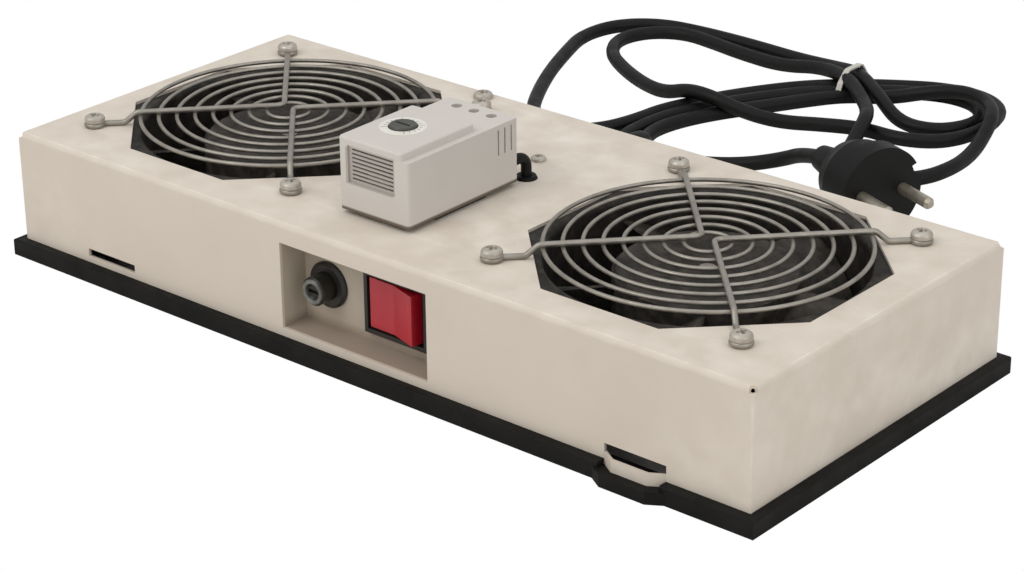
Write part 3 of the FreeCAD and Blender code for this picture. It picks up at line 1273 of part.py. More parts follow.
def make_plug():
    """Straight two-pin earthed plug lying on its side, with a guide groove at each side of its disc."""
    length = value(s.plug_length)
    rim = length - value(s.plug_disc_depth)
    grip = value(s.plug_grip_radius)
    body = turned([(0, 0), (s.plug_tail_radius, 0), (s.plug_neck_radius, rim * 0.38), (grip * 0.84, rim * 0.54),
                   (grip, rim * 0.74), (grip, rim * 0.95), (s.plug_disc_radius, rim), (s.plug_disc_radius, length),
                   (0, length)])
    for side in (-1, 1):
        depth = value(s.plug_disc_radius)
        middle = Vector(-value(s.plug_groove_width) / 2, depth - value(s.plug_groove_depth), rim)
        groove = Part.makeBox(value(s.plug_groove_width), depth, length, middle)
        groove.rotate(Vector(0, 0, 0), Vector(0, 0, 1), 90 + 90 * side)
        body = body.cut(groove)
    body.Placement = Placement(PLUG_BACK, Rotation(Vector(0, 0, 1), PLUG_AXIS))
    feature_from("plug_body", body)
    across = PLUG_AXIS.cross(Vector(0, 0, 1))
    tip = value(s.pin_radius) * 0.6
    pins = []
    for side in (-1, 1):
        pin = turned([(0, 0), (s.pin_radius, 0), (s.pin_radius, s.pin_length - tip), (tip, s.pin_length),
                      (0, s.pin_length)])
        place_on_face = PLUG_FRONT + across * (side * value(s.pin_spacing) / 2)
        pin.Placement = Placement(place_on_face, Rotation(Vector(0, 0, 1), PLUG_AXIS))
        pins.append(pin)
    feature_from("plug_pins", Part.makeCompound(pins))


make_housing()
make_control_pan()
make_edge_seal()
for side_name in FAN_X:
    make_fan_frame(side_name)
    make_fan_rotor(side_name)
    make_fan_motor(side_name)
    make_guard(side_name)
    make_fan_fasteners(side_name)
make_switch()
make_fuse_holder()
make_thermostat()
make_lead()
make_outlet()
make_wiring()
make_cord()
make_plug()
doc.recompute()

# ---------------------------------------------------------------- check and write

for item in doc.Objects:
    if "Invalid" in item.State or "Error" in item.State:
        raise RuntimeError("%s did not recompute: %s" % (item.Label, item.State))
os.makedirs("parts", exist_ok=True)
for node in NODES:
    if node.Shape.isNull() or not node.Shape.isValid():
        raise RuntimeError("%s has no valid shape" % node.Label)
    node.Shape.exportStep("parts/%s.step" % node.Label)
print(len(NODES), "nodes written")
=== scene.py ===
"""Rack fan tray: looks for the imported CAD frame. Metres, the CAD's own frame, -Y is the switch side."""
import json
import math

import bmesh
import bpy
from mathutils import Matrix, Vector


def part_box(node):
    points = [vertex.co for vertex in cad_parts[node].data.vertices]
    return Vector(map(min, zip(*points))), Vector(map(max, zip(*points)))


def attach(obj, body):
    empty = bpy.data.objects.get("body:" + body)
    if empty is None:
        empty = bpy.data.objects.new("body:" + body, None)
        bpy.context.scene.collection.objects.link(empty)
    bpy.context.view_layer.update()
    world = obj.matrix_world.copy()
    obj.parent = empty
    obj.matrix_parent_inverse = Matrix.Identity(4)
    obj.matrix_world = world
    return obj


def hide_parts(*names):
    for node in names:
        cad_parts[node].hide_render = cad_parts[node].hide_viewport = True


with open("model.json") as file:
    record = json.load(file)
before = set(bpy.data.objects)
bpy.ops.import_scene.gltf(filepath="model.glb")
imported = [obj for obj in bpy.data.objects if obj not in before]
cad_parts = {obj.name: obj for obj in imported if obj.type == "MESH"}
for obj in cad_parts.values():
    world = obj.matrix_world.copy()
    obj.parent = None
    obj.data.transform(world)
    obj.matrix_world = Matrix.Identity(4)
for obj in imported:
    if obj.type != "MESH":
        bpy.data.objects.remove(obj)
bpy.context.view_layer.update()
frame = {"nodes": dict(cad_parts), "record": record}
nodes = frame["nodes"]
BODY = "tray"
MM = 0.001


# ------------------------------------------------------------------ colour and material helpers

NOISE_LOW, NOISE_HIGH = 0.3, 0.7  # most of a noise texture's values lie between these
WHITE = (1.0, 1.0, 1.0, 1.0)


def linear(red, green, blue):
    """Linear colour from 0-255 sRGB."""
    def channel(number):
        share = number / 255
        return share / 12.92 if share <= 0.04045 else ((share + 0.055) / 1.055) ** 2.4
    return (channel(red), channel(green), channel(blue), 1.0)


class Surface:
    """A procedural material: a Principled shader with mottled colour, varied gloss and fine relief."""

    def __init__(self, name, **sockets):
        self.material = bpy.data.materials.new(name)
        self.material.use_nodes = True
        self.tree = self.material.node_tree
        self.shader = self.tree.nodes["Principled BSDF"]
        for socket, number in sockets.items():
            label = socket.replace("_", " ").title().replace("Ior", "IOR")
            self.shader.inputs[label].default_value = number
        self.place = self.node("ShaderNodeTexCoord").outputs["Object"]
        self.relief = None

    def node(self, kind, **settings):
        item = self.tree.nodes.new(kind)
        for key, setting in settings.items():
            setattr(item, key, setting)
        return item

    def link(self, source, target):
        self.tree.links.new(source, target)

    def noise(self, size, detail=3.0, rough=0.5):
        """Noise with features of about the given size in metres."""
        item = self.node("ShaderNodeTexNoise")
        item.inputs["Scale"].default_value = 1.0 / size
        item.inputs["Detail"].default_value = detail
        item.inputs["Roughness"].default_value = rough
        self.link(self.place, item.inputs["Vector"])
        return item.outputs["Fac"]

    def range(self, factor, low, high, start=NOISE_LOW, end=NOISE_HIGH):
        """Maps start to end of a factor onto low to high, and holds it there outside them."""
        item = self.node("ShaderNodeMapRange")
        item.inputs["From Min"].default_value = start
        item.inputs["From Max"].default_value = end
        item.inputs["To Min"].default_value = low
        item.inputs["To Max"].default_value = high
        self.link(factor, item.inputs["Value"])
        return item.outputs["Result"]

    def mix(self, factor, first, second):
        """Blends two colours, each a plain colour or a socket; 6, 7 and 2 are the node's colour sockets."""
        item = self.node("ShaderNodeMix", data_type="RGBA")
        self.link(factor, item.inputs[0])
        for number, colour in ((6, first), (7, second)):
            if isinstance(colour, tuple):
                item.inputs[number].default_value = colour
            else:
                self.link(colour, item.inputs[number])
        return item.outputs[2]

    def along(self, axis, start, end):
        """0 to 1 from start to end, in metres along one axis of the part."""
        parts = self.node("ShaderNodeSeparateXYZ")
        self.link(self.place, parts.inputs["Vector"])
        return self.range(parts.outputs[axis], 0.0, 1.0, start, end)

    def both(self, *factors):
        """The product of factors."""
        product = factors[0]
        for factor in factors[1:]:
            item = self.node("ShaderNodeMath", operation="MULTIPLY")
            self.link(product, item.inputs[0])
            self.link(factor, item.inputs[1])
            product = item.outputs[0]
        return product

    def mottle(self, colour, spread, size):
        """Base colour that drifts between a little darker and a little lighter."""
        item = self.node("ShaderNodeValToRGB")
        dark = tuple(part * (1 - spread) for part in colour[:3]) + (1.0,)
        light = tuple(min(part * (1 + spread), 1.0) for part in colour[:3]) + (1.0,)
        for stop, position, tone in zip(item.color_ramp.elements, (NOISE_LOW, NOISE_HIGH), (dark, light)):
            stop.position = position
            stop.color = tone
        self.link(self.noise(size, 4.0), item.inputs["Fac"])
        return item.outputs["Color"]

    def colour(self, source):
        self.link(source, self.shader.inputs["Base Color"])

    def gloss(self, low, high, size):
        """Roughness that drifts between low and high over patches of the given size in metres."""
        self.link(self.range(self.noise(size), low, high), self.shader.inputs["Roughness"])

    def bump(self, height, depth, strength):
        """Adds relief: height in 0-1 stands for depth in metres."""
        item = self.node("ShaderNodeBump")
        item.inputs["Strength"].default_value = strength
        item.inputs["Distance"].default_value = depth
        self.link(height, item.inputs["Height"])
        if self.relief:
            self.link(self.relief, item.inputs["Normal"])
        self.relief = item.outputs["Normal"]
        self.link(self.relief, self.shader.inputs["Normal"])

    def worn_edges(self, base, edge, start, end):
        """Mixes a second colour in along convex edges, broken up by noise."""
        geometry = self.node("ShaderNodeNewGeometry")
        sharp = self.range(geometry.outputs["Pointiness"], 0.0, 1.0, start, end)
        patchy = self.range(self.noise(0.012, 5.0), 0.0, 1.0, 0.35, 0.75)
        return self.mix(self.both(sharp, patchy), base, edge)


# ------------------------------------------------------------------ materials

def cream_paint():
    """Light powder coat: faint orange peel, a little uneven and handled."""
    item = Surface("cream_paint", ior=1.45, specular_ior_level=0.35)
    tone = item.mottle(linear(213, 202, 188), 0.02, 0.035)
    stain = item.range(item.noise(0.09, 6.0, 0.6), 0.0, 0.13, 0.52, 0.8)
    tone = item.mix(stain, tone, linear(160, 148, 130))
    item.colour(item.worn_edges(tone, linear(232, 224, 212), 0.53, 0.62))
    item.gloss(0.42, 0.56, 0.03)
    item.bump(item.noise(0.0011, 2.0), 0.00004, 0.5)
    item.bump(item.noise(0.02, 2.0), 0.00012, 0.25)
    return item.material


def recess_paint_shaded():
    """The pan's paint: the same coat, duller, with painted shade: a darker tone overall, darker still by its
    left end wall and towards its floor.
    """
    item = Surface("recess_paint_shaded", ior=1.45, specular_ior_level=0.3)
    left, _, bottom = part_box("control_pan")[0]
    # painted shade: the whole pan is a darker tone than the outer coat, for the shade inside the recess
    tone = item.mottle(linear(186, 175, 159), 0.03, 0.012)
    # painted shade: darker towards the pan's left end wall
    tone = item.mix(item.along("X", left + 5 * MM, left + 1.5 * MM), tone, linear(122, 111, 96))
    # painted shade: darker towards the pan's floor
    tone = item.mix(item.along("Z", bottom + 5 * MM, bottom + 2 * MM), tone, linear(164, 150, 136))
    item.colour(tone)
    item.gloss(0.5, 0.62, 0.01)
    item.bump(item.noise(0.0011, 2.0), 0.00004, 0.5)
    return item.material


def soft_rubber(name, colour, scuff, size):
    """Extruded rubber: dull, finely grained and lightly dusted."""
    item = Surface(name, ior=1.5, specular_ior_level=0.2)
    dust = item.range(item.noise(size, 6.0, 0.65), 0.0, 0.4, 0.5, 0.8)
    item.colour(item.mix(dust, item.mottle(colour, 0.2, size * 0.4), scuff))
    item.gloss(0.5, 0.72, size * 0.5)
    item.bump(item.noise(0.0006, 3.0), 0.00003, 0.6)
    return item.material


def moulded(name, colour, spread, rough):
    """Moulded plastic with a fine spark-eroded texture and paler edges."""
    item = Surface(name, ior=1.5)
    tone = item.mottle(colour, spread, 0.014)
    light = tuple(min(part * 1.25 + 0.01, 1.0) for part in colour[:3]) + (1.0,)
    item.colour(item.worn_edges(tone, light, 0.54, 0.66))
    item.gloss(*rough, 0.008)
    item.bump(item.noise(0.0005, 3.0), 0.00002, 0.6)
    return item.material


def plated(name, colour, tarnish, rough, size=0.004, metallic=1.0):
    """Metal with a fine drawn grain and dull patches of the given size."""
    item = Surface(name, metallic=metallic)
    dull = item.range(item.noise(size, 5.0), 0.0, 0.55, 0.4, 0.75)
    item.colour(item.mix(dull, colour, tarnish))
    item.gloss(*rough, size * 0.6)
    item.bump(item.noise(0.0012, 2.0), 0.000012, 0.4)
    return item.material


def cast_black(name, colour, dust):
    """Black stoved casting that has collected a little dust."""
    item = Surface(name, ior=1.45, specular_ior_level=0.4)
    settled = item.range(item.noise(0.006, 6.0, 0.65), 0.0, 0.6, 0.42, 0.8)
    item.colour(item.mix(settled, item.mottle(colour, 0.15, 0.004), dust))
    item.gloss(0.5, 0.75, 0.004)
    item.bump(item.noise(0.0009, 4.0), 0.00006, 0.5)
    return item.material


def red_lens():
    """Translucent red rocker: moulded, with light sinking a little way in."""
    item = Surface("red_lens", ior=1.49, coat_weight=0.3, coat_roughness=0.2, transmission_weight=0.1,
                   subsurface_weight=0.3, subsurface_scale=0.004, subsurface_radius=(1.0, 0.12, 0.1))
    item.colour(item.mottle(linear(190, 24, 46), 0.07, 0.006))
    item.gloss(0.28, 0.4, 0.004)
    item.bump(item.noise(0.0012, 2.0), 0.00003, 0.4)
    return item.material


def cord_sheath():
    """PVC cord sheath: smooth black with faint extrusion ripples."""
    item = Surface("cord_sheath", ior=1.5, specular_ior_level=0.22)
    item.colour(item.mottle(linear(15, 15, 15), 0.25, 0.006))
    item.gloss(0.42, 0.6, 0.006)
    item.bump(item.noise(0.0022, 3.0), 0.00006, 0.5)
    return item.material


def cap_plastic():
    """The fuse cap's phenolic: black, with a painted pale grey highlight in patches on its end face."""
    item = Surface("cap_plastic", ior=1.5, specular_ior_level=0.4)
    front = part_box("fuse_cap")[0][1]
    # painted highlight: pale grey patches on the end face stand in for its reflection
    highlight_face = item.along("Y", front + 0.5 * MM, front + 0.1 * MM)
    patchy = item.range(item.noise(0.004, 4.0), 0.3, 1.0)
    black = item.mottle(linear(27, 25, 21), 0.15, 0.004)
    item.colour(item.mix(item.both(highlight_face, patchy), black, linear(128, 129, 123)))
    item.gloss(0.3, 0.5, 0.003)
    item.bump(item.noise(0.0005, 3.0), 0.00002, 0.5)
    return item.material


def vent_grey():
    """The thermostat's case: pale grey, with painted shade on its front's vent panel and a painted shadow
    line at its foot.
    """
    item = Surface("vent_grey", ior=1.5, specular_ior_level=0.45)
    left, front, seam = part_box("thermostat_cover")[0]
    right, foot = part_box("thermostat_cover")[1][0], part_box("thermostat_base")[0][2]
    tone = item.mottle(linear(207, 201, 194), 0.018, 0.014)
    # painted shade: the front's vent panel is a darker grey, for the shade in its shallow recess and slits
    panel = item.both(item.along("Y", front + 1.6 * MM, front + 1.2 * MM),
                      item.along("X", left + 3.4 * MM, left + 3.6 * MM),
                      item.along("X", right - 7.0 * MM, right - 7.2 * MM),
                      item.along("Z", seam + 14.0 * MM, seam + 13.8 * MM),
                      item.along("Z", seam, seam + 0.2 * MM))
    tone = item.mix(panel, tone, linear(176, 169, 162))
    # painted shadow: a dark band along the case's lowest 1.5 mm, for the shadow of the gap under it
    item.colour(item.mix(item.along("Z", foot + 1.5 * MM, foot + 0.8 * MM), tone, linear(104, 92, 79)))
    item.gloss(0.42, 0.55, 0.008)
    item.bump(item.noise(0.0006, 3.0), 0.00002, 0.6)
    return item.material


def glass_tube():
    """Clear glass of the fuse and the lamp, very slightly uneven."""
    item = Surface("glass_tube", ior=1.5, transmission_weight=0.9)
    item.colour(item.mottle(linear(214, 220, 220), 0.03, 0.003))
    item.gloss(0.04, 0.1, 0.003)
    item.bump(item.noise(0.002, 2.0), 0.00001, 0.3)
    return item.material


M = {
    "cream_steel": cream_paint(),
    "recess_paint_shaded": recess_paint_shaded(),
    "black_rubber": soft_rubber("black_rubber", linear(11, 10, 9), linear(48, 45, 41), 0.02),
    "black_casting": cast_black("black_casting", linear(30, 27, 24), linear(88, 80, 70)),
    "black_plastic": moulded("black_plastic", linear(34, 31, 28), 0.12, (0.36, 0.5)),
    "rotor_plastic": cast_black("rotor_plastic", linear(44, 40, 36), linear(110, 102, 92)),
    "dark_plastic": moulded("dark_plastic", linear(66, 66, 60), 0.08, (0.35, 0.5)),
    "white_plastic": moulded("white_plastic", linear(226, 223, 214), 0.02, (0.35, 0.5)),
    "cord_rubber": cord_sheath(),
    "steel": plated("steel", linear(196, 189, 178), linear(140, 132, 121), (0.4, 0.55), metallic=0.7),
    "bright_wire": plated("bright_wire", linear(168, 163, 154), linear(122, 116, 108), (0.4, 0.55), 0.006,
                          0.85),
    "lamination_steel": plated("lamination_steel", linear(96, 94, 92), linear(60, 52, 46), (0.4, 0.6)),
    "copper": plated("copper", linear(178, 104, 60), linear(120, 60, 34), (0.3, 0.5), 0.003),
    "tinned_brass": plated("tinned_brass", linear(190, 183, 168), linear(142, 134, 118), (0.3, 0.45), 0.006,
                           0.85),
    "red_lens": red_lens(),
    "cap_plastic": cap_plastic(),
    "vent_grey": vent_grey(),
    "glass_tube": glass_tube(),
    "tie_plastic": moulded("tie_plastic", linear(196, 192, 184), 0.03, (0.3, 0.42)),
}


# ------------------------------------------------------------------ mesh and curve helpers

CREASE = math.radians(35)
CORNER_STEPS = 6


def add_object(name, data):
    """A new object in the scene with the given data."""
    item = bpy.data.objects.new(name, data)
    bpy.context.collection.objects.link(item)
    return item


def to_mesh(name, bm):
    """A mesh made from a bmesh, which is freed."""
    mesh = bpy.data.meshes.new(name)
    bm.to_mesh(mesh)
    bm.free()
    return mesh


def add_piece(name, mesh, material, place=None):
    """A mesh piece that rides on the tray, with smooth faces and sharp creases."""
    piece = add_object(name, mesh)
    if not mesh.materials:
        mesh.materials.append(material)
    for face in mesh.polygons:
        face.use_smooth = True
    mesh.set_sharp_from_angle(angle=CREASE)
    if place:
        piece.matrix_world = place
    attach(piece, BODY)
    return piece


def finish_mesh(name, bm, material):
    """Turns a bmesh into a piece, its faces pointing outwards."""
    bmesh.ops.recalc_face_normals(bm, faces=bm.faces)
    return add_piece(name, to_mesh(name, bm), material)


def circle_point(radius, share, height=0.0):
    """The point at a share of a full turn about Z."""
    angle = 2 * math.pi * share
    return Vector((radius * math.cos(angle), radius * math.sin(angle), height))


def circle(centre, radius, steps):
    return [centre + circle_point(radius, step / steps) for step in range(steps)]


def lathe(bm, profile, steps, place=Matrix()):
    """Adds a surface of revolution about Z from (radius, height) points, closed where the radius is 0."""
    rings = []
    for radius, height in profile:
        count = steps if radius else 1
        corners = [place @ circle_point(radius, step / steps, height) for step in range(count)]
        rings.append([bm.verts.new(corner) for corner in corners])
    for lower, upper in zip(rings, rings[1:]):
        for step in range(steps):
            after = (step + 1) % steps
            if len(lower) == 1:
                bm.faces.new((lower[0], upper[step], upper[after]))
            elif len(upper) == 1:
                bm.faces.new((lower[step], lower[after], upper[0]))
            else:
                bm.faces.new((lower[step], lower[after], upper[after], upper[step]))


def block(bm, low, high, place):
    """Adds a block between two corners and then places it."""
    made = bmesh.ops.create_cube(bm, size=1.0)["verts"]
    centre = (Vector(low) + Vector(high)) / 2
    size = Vector(high) - Vector(low)
    for vert in made:
        vert.co = place @ (centre + Vector(part * length for part, length in zip(vert.co, size)))
    return made


def rounded(points, radius):
    """A polyline with its inner corners rounded to a radius."""
    path = [Vector(points[0])]
    for before, here, after in zip(points, points[1:], points[2:]):
        before, here, after = Vector(before), Vector(here), Vector(after)
        back, on = (before - here).normalized(), (after - here).normalized()
        half = back.angle(on) / 2
        cut = min(radius / math.tan(half), (before - here).length * 0.49, (after - here).length * 0.49)
        first, last = here + back * cut, here + on * cut
        for step in range(CORNER_STEPS + 1):
            share = step / CORNER_STEPS
            path.append(first * (1 - share) ** 2 + here * 2 * share * (1 - share) + last * share ** 2)
    path.append(Vector(points[-1]))
    return path


def new_curve(name, thickness, fineness, material):
    """Data for round bars along splines, closed at their ends."""
    curve = bpy.data.curves.new(name, "CURVE")
    curve.dimensions = "3D"
    curve.bevel_depth = thickness
    curve.bevel_resolution = fineness
    curve.use_fill_caps = True
    curve.materials.append(material)
    return curve


def wires(name, runs, material):
    """One curve piece of round wires; runs are (points, radius, closed)."""
    curve = new_curve(name, 1.0, 3, material)
    for points, radius, closed in runs:
        spline = curve.splines.new("POLY")
        spline.points.add(len(points) - 1)
        spline.use_cyclic_u = closed
        spline.use_smooth = True
        for point, place in zip(spline.points, points):
            point.co = (*place, 1.0)
            point.radius = radius
    piece = add_object(name, curve)
    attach(piece, BODY)
    return piece


def middle(node):
    low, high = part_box(node)
    return (Vector(low) + Vector(high)) / 2


# ------------------------------------------------------------------ CAD nodes that keep their shape

SLOT_OF = {part["node"]: part["material_slot"] for part in frame["record"]["subparts"]}
# The thermostat rail is a real part; its dark lamination_steel is painted shade, so the gap under the
# thermostat reads dark.
REPAINT = {"control_pan": "recess_paint_shaded", "fuse_cap": "cap_plastic", "thermostat_rail": "lamination_steel",
           "fan_rotor_left": "rotor_plastic", "fan_rotor_right": "rotor_plastic",
           "thermostat_cover": "vent_grey", "thermostat_base": "vent_grey"}


def dress_nodes():
    """Gives every carried-over CAD node its procedural material."""
    for name, item in nodes.items():
        item.data.materials.clear()
        item.data.materials.append(M[REPAINT.get(name, SLOT_OF[name])])


# ------------------------------------------------------------------ dial scale

SCALE_GAP = 0.3 * MM  # between the dial and the ring
SCALE_REACH = 3.4 * MM  # from the dial to the ring's outer edge
SCALE_THICKNESS = 0.15 * MM
SCALE_SUNK = 0.05 * MM
SCALE_STEPS = 72
TICKS = 16
LONG_TICK_EVERY = 5
TICK_LENGTH = 1.1 * MM
LONG_TICK_LENGTH = 1.9 * MM
TICK_INSET = 0.5 * MM
TICK_HALF_WIDTH = 0.12 * MM
TICK_RISE = 0.03 * MM
DIAL_START, DIAL_SWEEP = -135, 270


def dial_scale():
    """A pale ring round the thermostat's dial with plain ticks over its turn, every fifth one longer."""
    low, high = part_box("thermostat_dial")
    centre = middle("thermostat_dial")
    centre.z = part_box("thermostat_cover")[1][2]
    seat = Matrix.Translation(centre)
    reach = (high[0] - low[0]) / 2
    inner, outer = reach + SCALE_GAP, reach + SCALE_REACH
    ring = bmesh.new()
    lathe(ring, [(inner, -SCALE_SUNK), (inner, SCALE_THICKNESS), (outer - 0.1 * MM, SCALE_THICKNESS),
                 (outer, SCALE_THICKNESS * 0.5), (outer, -SCALE_SUNK)], SCALE_STEPS, seat)
    finish_mesh("dial_scale", ring, M["white_plastic"])
    ticks = bmesh.new()
    for number in range(TICKS):
        angle = math.radians(DIAL_START + DIAL_SWEEP * number / (TICKS - 1)) + math.pi / 2
        length = TICK_LENGTH if number % LONG_TICK_EVERY else LONG_TICK_LENGTH
        block(ticks, (inner + TICK_INSET, -TICK_HALF_WIDTH, SCALE_THICKNESS * 0.8),
              (inner + TICK_INSET + length, TICK_HALF_WIDTH, SCALE_THICKNESS + TICK_RISE),
              seat @ Matrix.Rotation(angle, 4, "Z"))
    finish_mesh("dial_ticks", ticks, M["dark_plastic"])


# ------------------------------------------------------------------ finger guards and screws

SHEET_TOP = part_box("housing")[1][2]
RINGS = 8
RING_OUTER = 56.6 * MM
RING_PITCH = 6.9 * MM
RING_WIRE = 0.8 * MM
RING_STEPS = 96
LEG_WIRE = 1.1 * MM
LEG_BEND = 3.2 * MM
LEG_DROP_FROM = 1.4 * MM  # the legs come down to the sheet between these distances from the outer ring
LEG_DROP_TO = 6 * MM
LEG_APEX = 2.4 * MM  # from the guard's middle to the bend of each leg wire
GUARD_RISE = 3.4 * MM
HOLE_REACH = 52.4 * MM
LOOP_RADIUS = 3.1 * MM
LOOP_STEPS = 28
SCREW_STEPS = 32
SCREW_TURN = 0.7  # radians from one screw's recess to the next one's
RECESS_TURN = 0.4
RECESS_TAPER = 0.55


def guard(side):
    """Concentric wire rings on two bent leg wires that end in loops round the screws."""
    centre = middle("finger_guard_" + side)
    centre.z = 0
    level = SHEET_TOP + GUARD_RISE
    high = level + RING_WIRE + LEG_WIRE * 0.8
    low = SHEET_TOP + LEG_WIRE
    hub = centre + Vector((0, 0, level))
    radii = [RING_OUTER - number * RING_PITCH for number in range(RINGS)]
    runs = [(circle(hub, radius, RING_STEPS), RING_WIRE, True) for radius in radii]
    for sign in (-1, 1):
        arms = []
        for end in (-1, 1):
            out = Vector((sign, end, 0)).normalized()
            arms.append([out * distance + Vector((0, 0, height)) for distance, height in (
                (RING_OUTER + LEG_DROP_FROM, high), (RING_OUTER + LEG_DROP_TO, low),
                (HOLE_REACH * math.sqrt(2) - LOOP_RADIUS, low))])
        path = rounded(arms[0][::-1] + [Vector((sign * LEG_APEX, 0, high))] + arms[1], LEG_BEND)
        runs.append(([centre + point for point in path], LEG_WIRE, False))
        for end in (-1, 1):
            eye = centre + Vector((sign * HOLE_REACH, end * HOLE_REACH, low))
            runs.append((circle(eye, LOOP_RADIUS, LOOP_STEPS), LEG_WIRE, True))
    piece = wires("guard_wires_" + side, runs, M["bright_wire"])
    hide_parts("finger_guard_" + side)


def screw_mesh(name, radius, height, shank):
    """A pan-head screw with a cross recess, its seat at z = 0.

    The numbers are shares of the head's radius and height.
    """
    bm = bmesh.new()
    lathe(bm, [(0, -shank), (radius * 0.45, -shank), (radius * 0.5, -shank + height * 0.2), (radius * 0.5, 0),
               (radius, 0), (radius, height * 0.42), (radius * 0.93, height * 0.68),
               (radius * 0.76, height * 0.88), (radius * 0.5, height * 0.98), (0, height)], SCREW_STEPS)
    bmesh.ops.recalc_face_normals(bm, faces=bm.faces)
    blank = add_object(name + "_blank", to_mesh(name, bm))
    cross = bmesh.new()
    width, reach, depth = radius * 0.17, radius * 0.56, height * 0.62
    for turn in (0, math.pi / 2):
        made = block(cross, (-reach, -width, height - depth), (reach, width, height * 1.2),
                     Matrix.Rotation(turn + RECESS_TURN, 4, "Z"))
        for vert in made:
            if vert.co.z < height * 0.9:
                vert.co.x *= RECESS_TAPER
                vert.co.y *= RECESS_TAPER
    cutter = add_object(name + "_cutter", to_mesh(name + "_cutter", cross))
    cut = blank.modifiers.new("recess", "BOOLEAN")
    cut.object = cutter
    cut.operation = "DIFFERENCE"
    cut.solver = "EXACT"
    cut.use_self = True
    result = bpy.data.meshes.new_from_object(blank.evaluated_get(bpy.context.evaluated_depsgraph_get()))
    for item in (blank, cutter):
        bpy.data.objects.remove(item)
    result.name = name
    return result


def screws(node, mesh, seats):
    """One cross-head screw at each seat, each turned further; together they stand for the node's own."""
    for number, seat in enumerate(seats):
        turn = Matrix.Rotation(SCREW_TURN * number, 4, "Z")
        piece = add_piece("%s_%d" % (node, number + 1), mesh, M["steel"], Matrix.Translation(seat) @ turn)
        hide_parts(node)


def all_screws():
    """The guards' screws on their loops, and the earth and block screws on the sheet."""
    big = screw_mesh("pan_screw_m4", 3.9 * MM, 2.6 * MM, 10 * MM)
    small = screw_mesh("pan_screw_m3", 2.9 * MM, 1.85 * MM, 12 * MM)
    for side in ("left", "right"):
        centre = middle("finger_guard_" + side)
        seats = [Vector((centre.x + dx * HOLE_REACH, centre.y + dy * HOLE_REACH, SHEET_TOP + 2 * LEG_WIRE))
                 for dx, dy in ((-1, -1), (1, -1), (1, 1), (-1, 1))]
        screws("guard_screws_" + side, big, seats)
    for node, mesh in (("earth_screw", big), ("block_screw", small)):
        spot = middle(node)
        screws(node, mesh, [Vector((spot.x, spot.y, SHEET_TOP))])


# ------------------------------------------------------------------ power cord

CORD_RADIUS = 3.1 * MM
# in millimetres from here to TIE_CORNER
FLOOR = 3.2  # middle of a strand that lies on the floor
OVER = 10.3  # middle of a strand that lies over another
OUTLET = (-28, 102.2, 24)
ROUTE = [
    # straight out of the strain relief, down to the floor and along the middle strand to the tie
    OUTLET, (-28, 124, 24), (-34, 139, 17.5), (-45, 145, 9), (-57, 150, FLOOR), (-65.5, 162, FLOOR),
    (-67, 180, FLOOR), (-64.5, 199, FLOOR), (-57, 219, FLOOR), (-47, 238, FLOOR), (-35, 256, FLOOR),
    (-20, 270.5, FLOOR),
    # inner fold on the right, back over the tie
    (-4, 282.5, FLOOR), (14, 291.5, FLOOR), (30.5, 289.5, FLOOR), (41, 277.5, FLOOR), (41.5, 264, FLOOR),
    (33, 251.5, FLOOR), (17, 248.5, 4), (-1, 260, 9), (-21, 275, OVER),
    # upper strand, the wide left fold and the turn hidden behind the tray
    (-40, 284, 6), (-62, 289, FLOOR), (-90, 291, FLOOR), (-118, 291, FLOOR), (-141, 288, FLOOR),
    (-157, 274, FLOOR), (-160, 252, FLOOR), (-151, 229, FLOOR), (-141, 206, FLOOR), (-128, 182, FLOOR),
    (-115, 162, FLOOR), (-100, 153, FLOOR), (-86, 155, FLOOR), (-77, 166, FLOOR), (-73, 182, FLOOR),
    # left strand to the tie
    (-71.8, 199, FLOOR), (-63, 223, FLOOR), (-52, 244, FLOOR), (-40, 262, FLOOR), (-24, 277, FLOOR),
    # the widest fold on the right
    (-8, 288, FLOOR), (8, 297, FLOOR), (26, 300, FLOOR), (42, 292, FLOOR), (48, 275, FLOOR), (48, 256, FLOOR),
    (41, 241, FLOOR), (26, 234, FLOOR), (8, 235, FLOOR),
    # lowest strand, over the three that rise to the tie, the small left fold and back under the upper strand
    (-8, 228, FLOOR), (-24, 219, FLOOR), (-39, 213, 6), (-52, 210, OVER), (-67, 211, OVER), (-81, 213, 5),
    (-97, 219, FLOOR), (-117, 229, FLOOR), (-135, 242, FLOOR), (-144, 259, FLOOR), (-139, 276, FLOOR),
    (-124, 285, FLOOR), (-106, 282.5, FLOOR), (-88, 279, FLOOR), (-64, 277, FLOOR), (-43, 277, 7.5),
    (-22, 267.5, OVER),
    # long fold on the right, down towards the plug and back over the other folds
    (-5.5, 253.5, 9), (5.5, 242, 9), (13, 229, OVER), (17, 212, 4), (22, 200, FLOOR), (34.5, 191.5, FLOOR),
    (49.5, 193.5, FLOOR), (59, 205, FLOOR), (61.5, 220, FLOOR), (60.5, 234, FLOOR), (58, 248, 5),
    (53, 266, OVER), (42, 280, OVER), (26, 284, OVER), (11, 281, 7), (-3.5, 273, FLOOR), (-20, 263.5, FLOOR),
    # right strand, down behind the tray and up into the plug
    (-30, 248, FLOOR), (-40.5, 229, FLOOR), (-51, 211, FLOOR), (-58, 193, FLOOR), (-60, 176, FLOOR),
    (-54, 161, FLOOR), (-41, 154, FLOOR), (-24, 158, FLOOR), (-8, 168.5, FLOOR), (7, 176, 7), (21, 172, 14.5),
    (35.4, 164.4, 18.6),
]
TIE_X = -22
TIE_OUTLINE = [(261.5, 0.9), (281.5, 0.9), (283.6, 3.2), (281.5, 7.5), (277, 13.4), (267, 13.4), (262, 8.5),
               (259.6, 3.2)]
TIE_CORNER = 2.0
TIE_WIDTH = 2.6 * MM
TIE_THICKNESS = 0.7 * MM


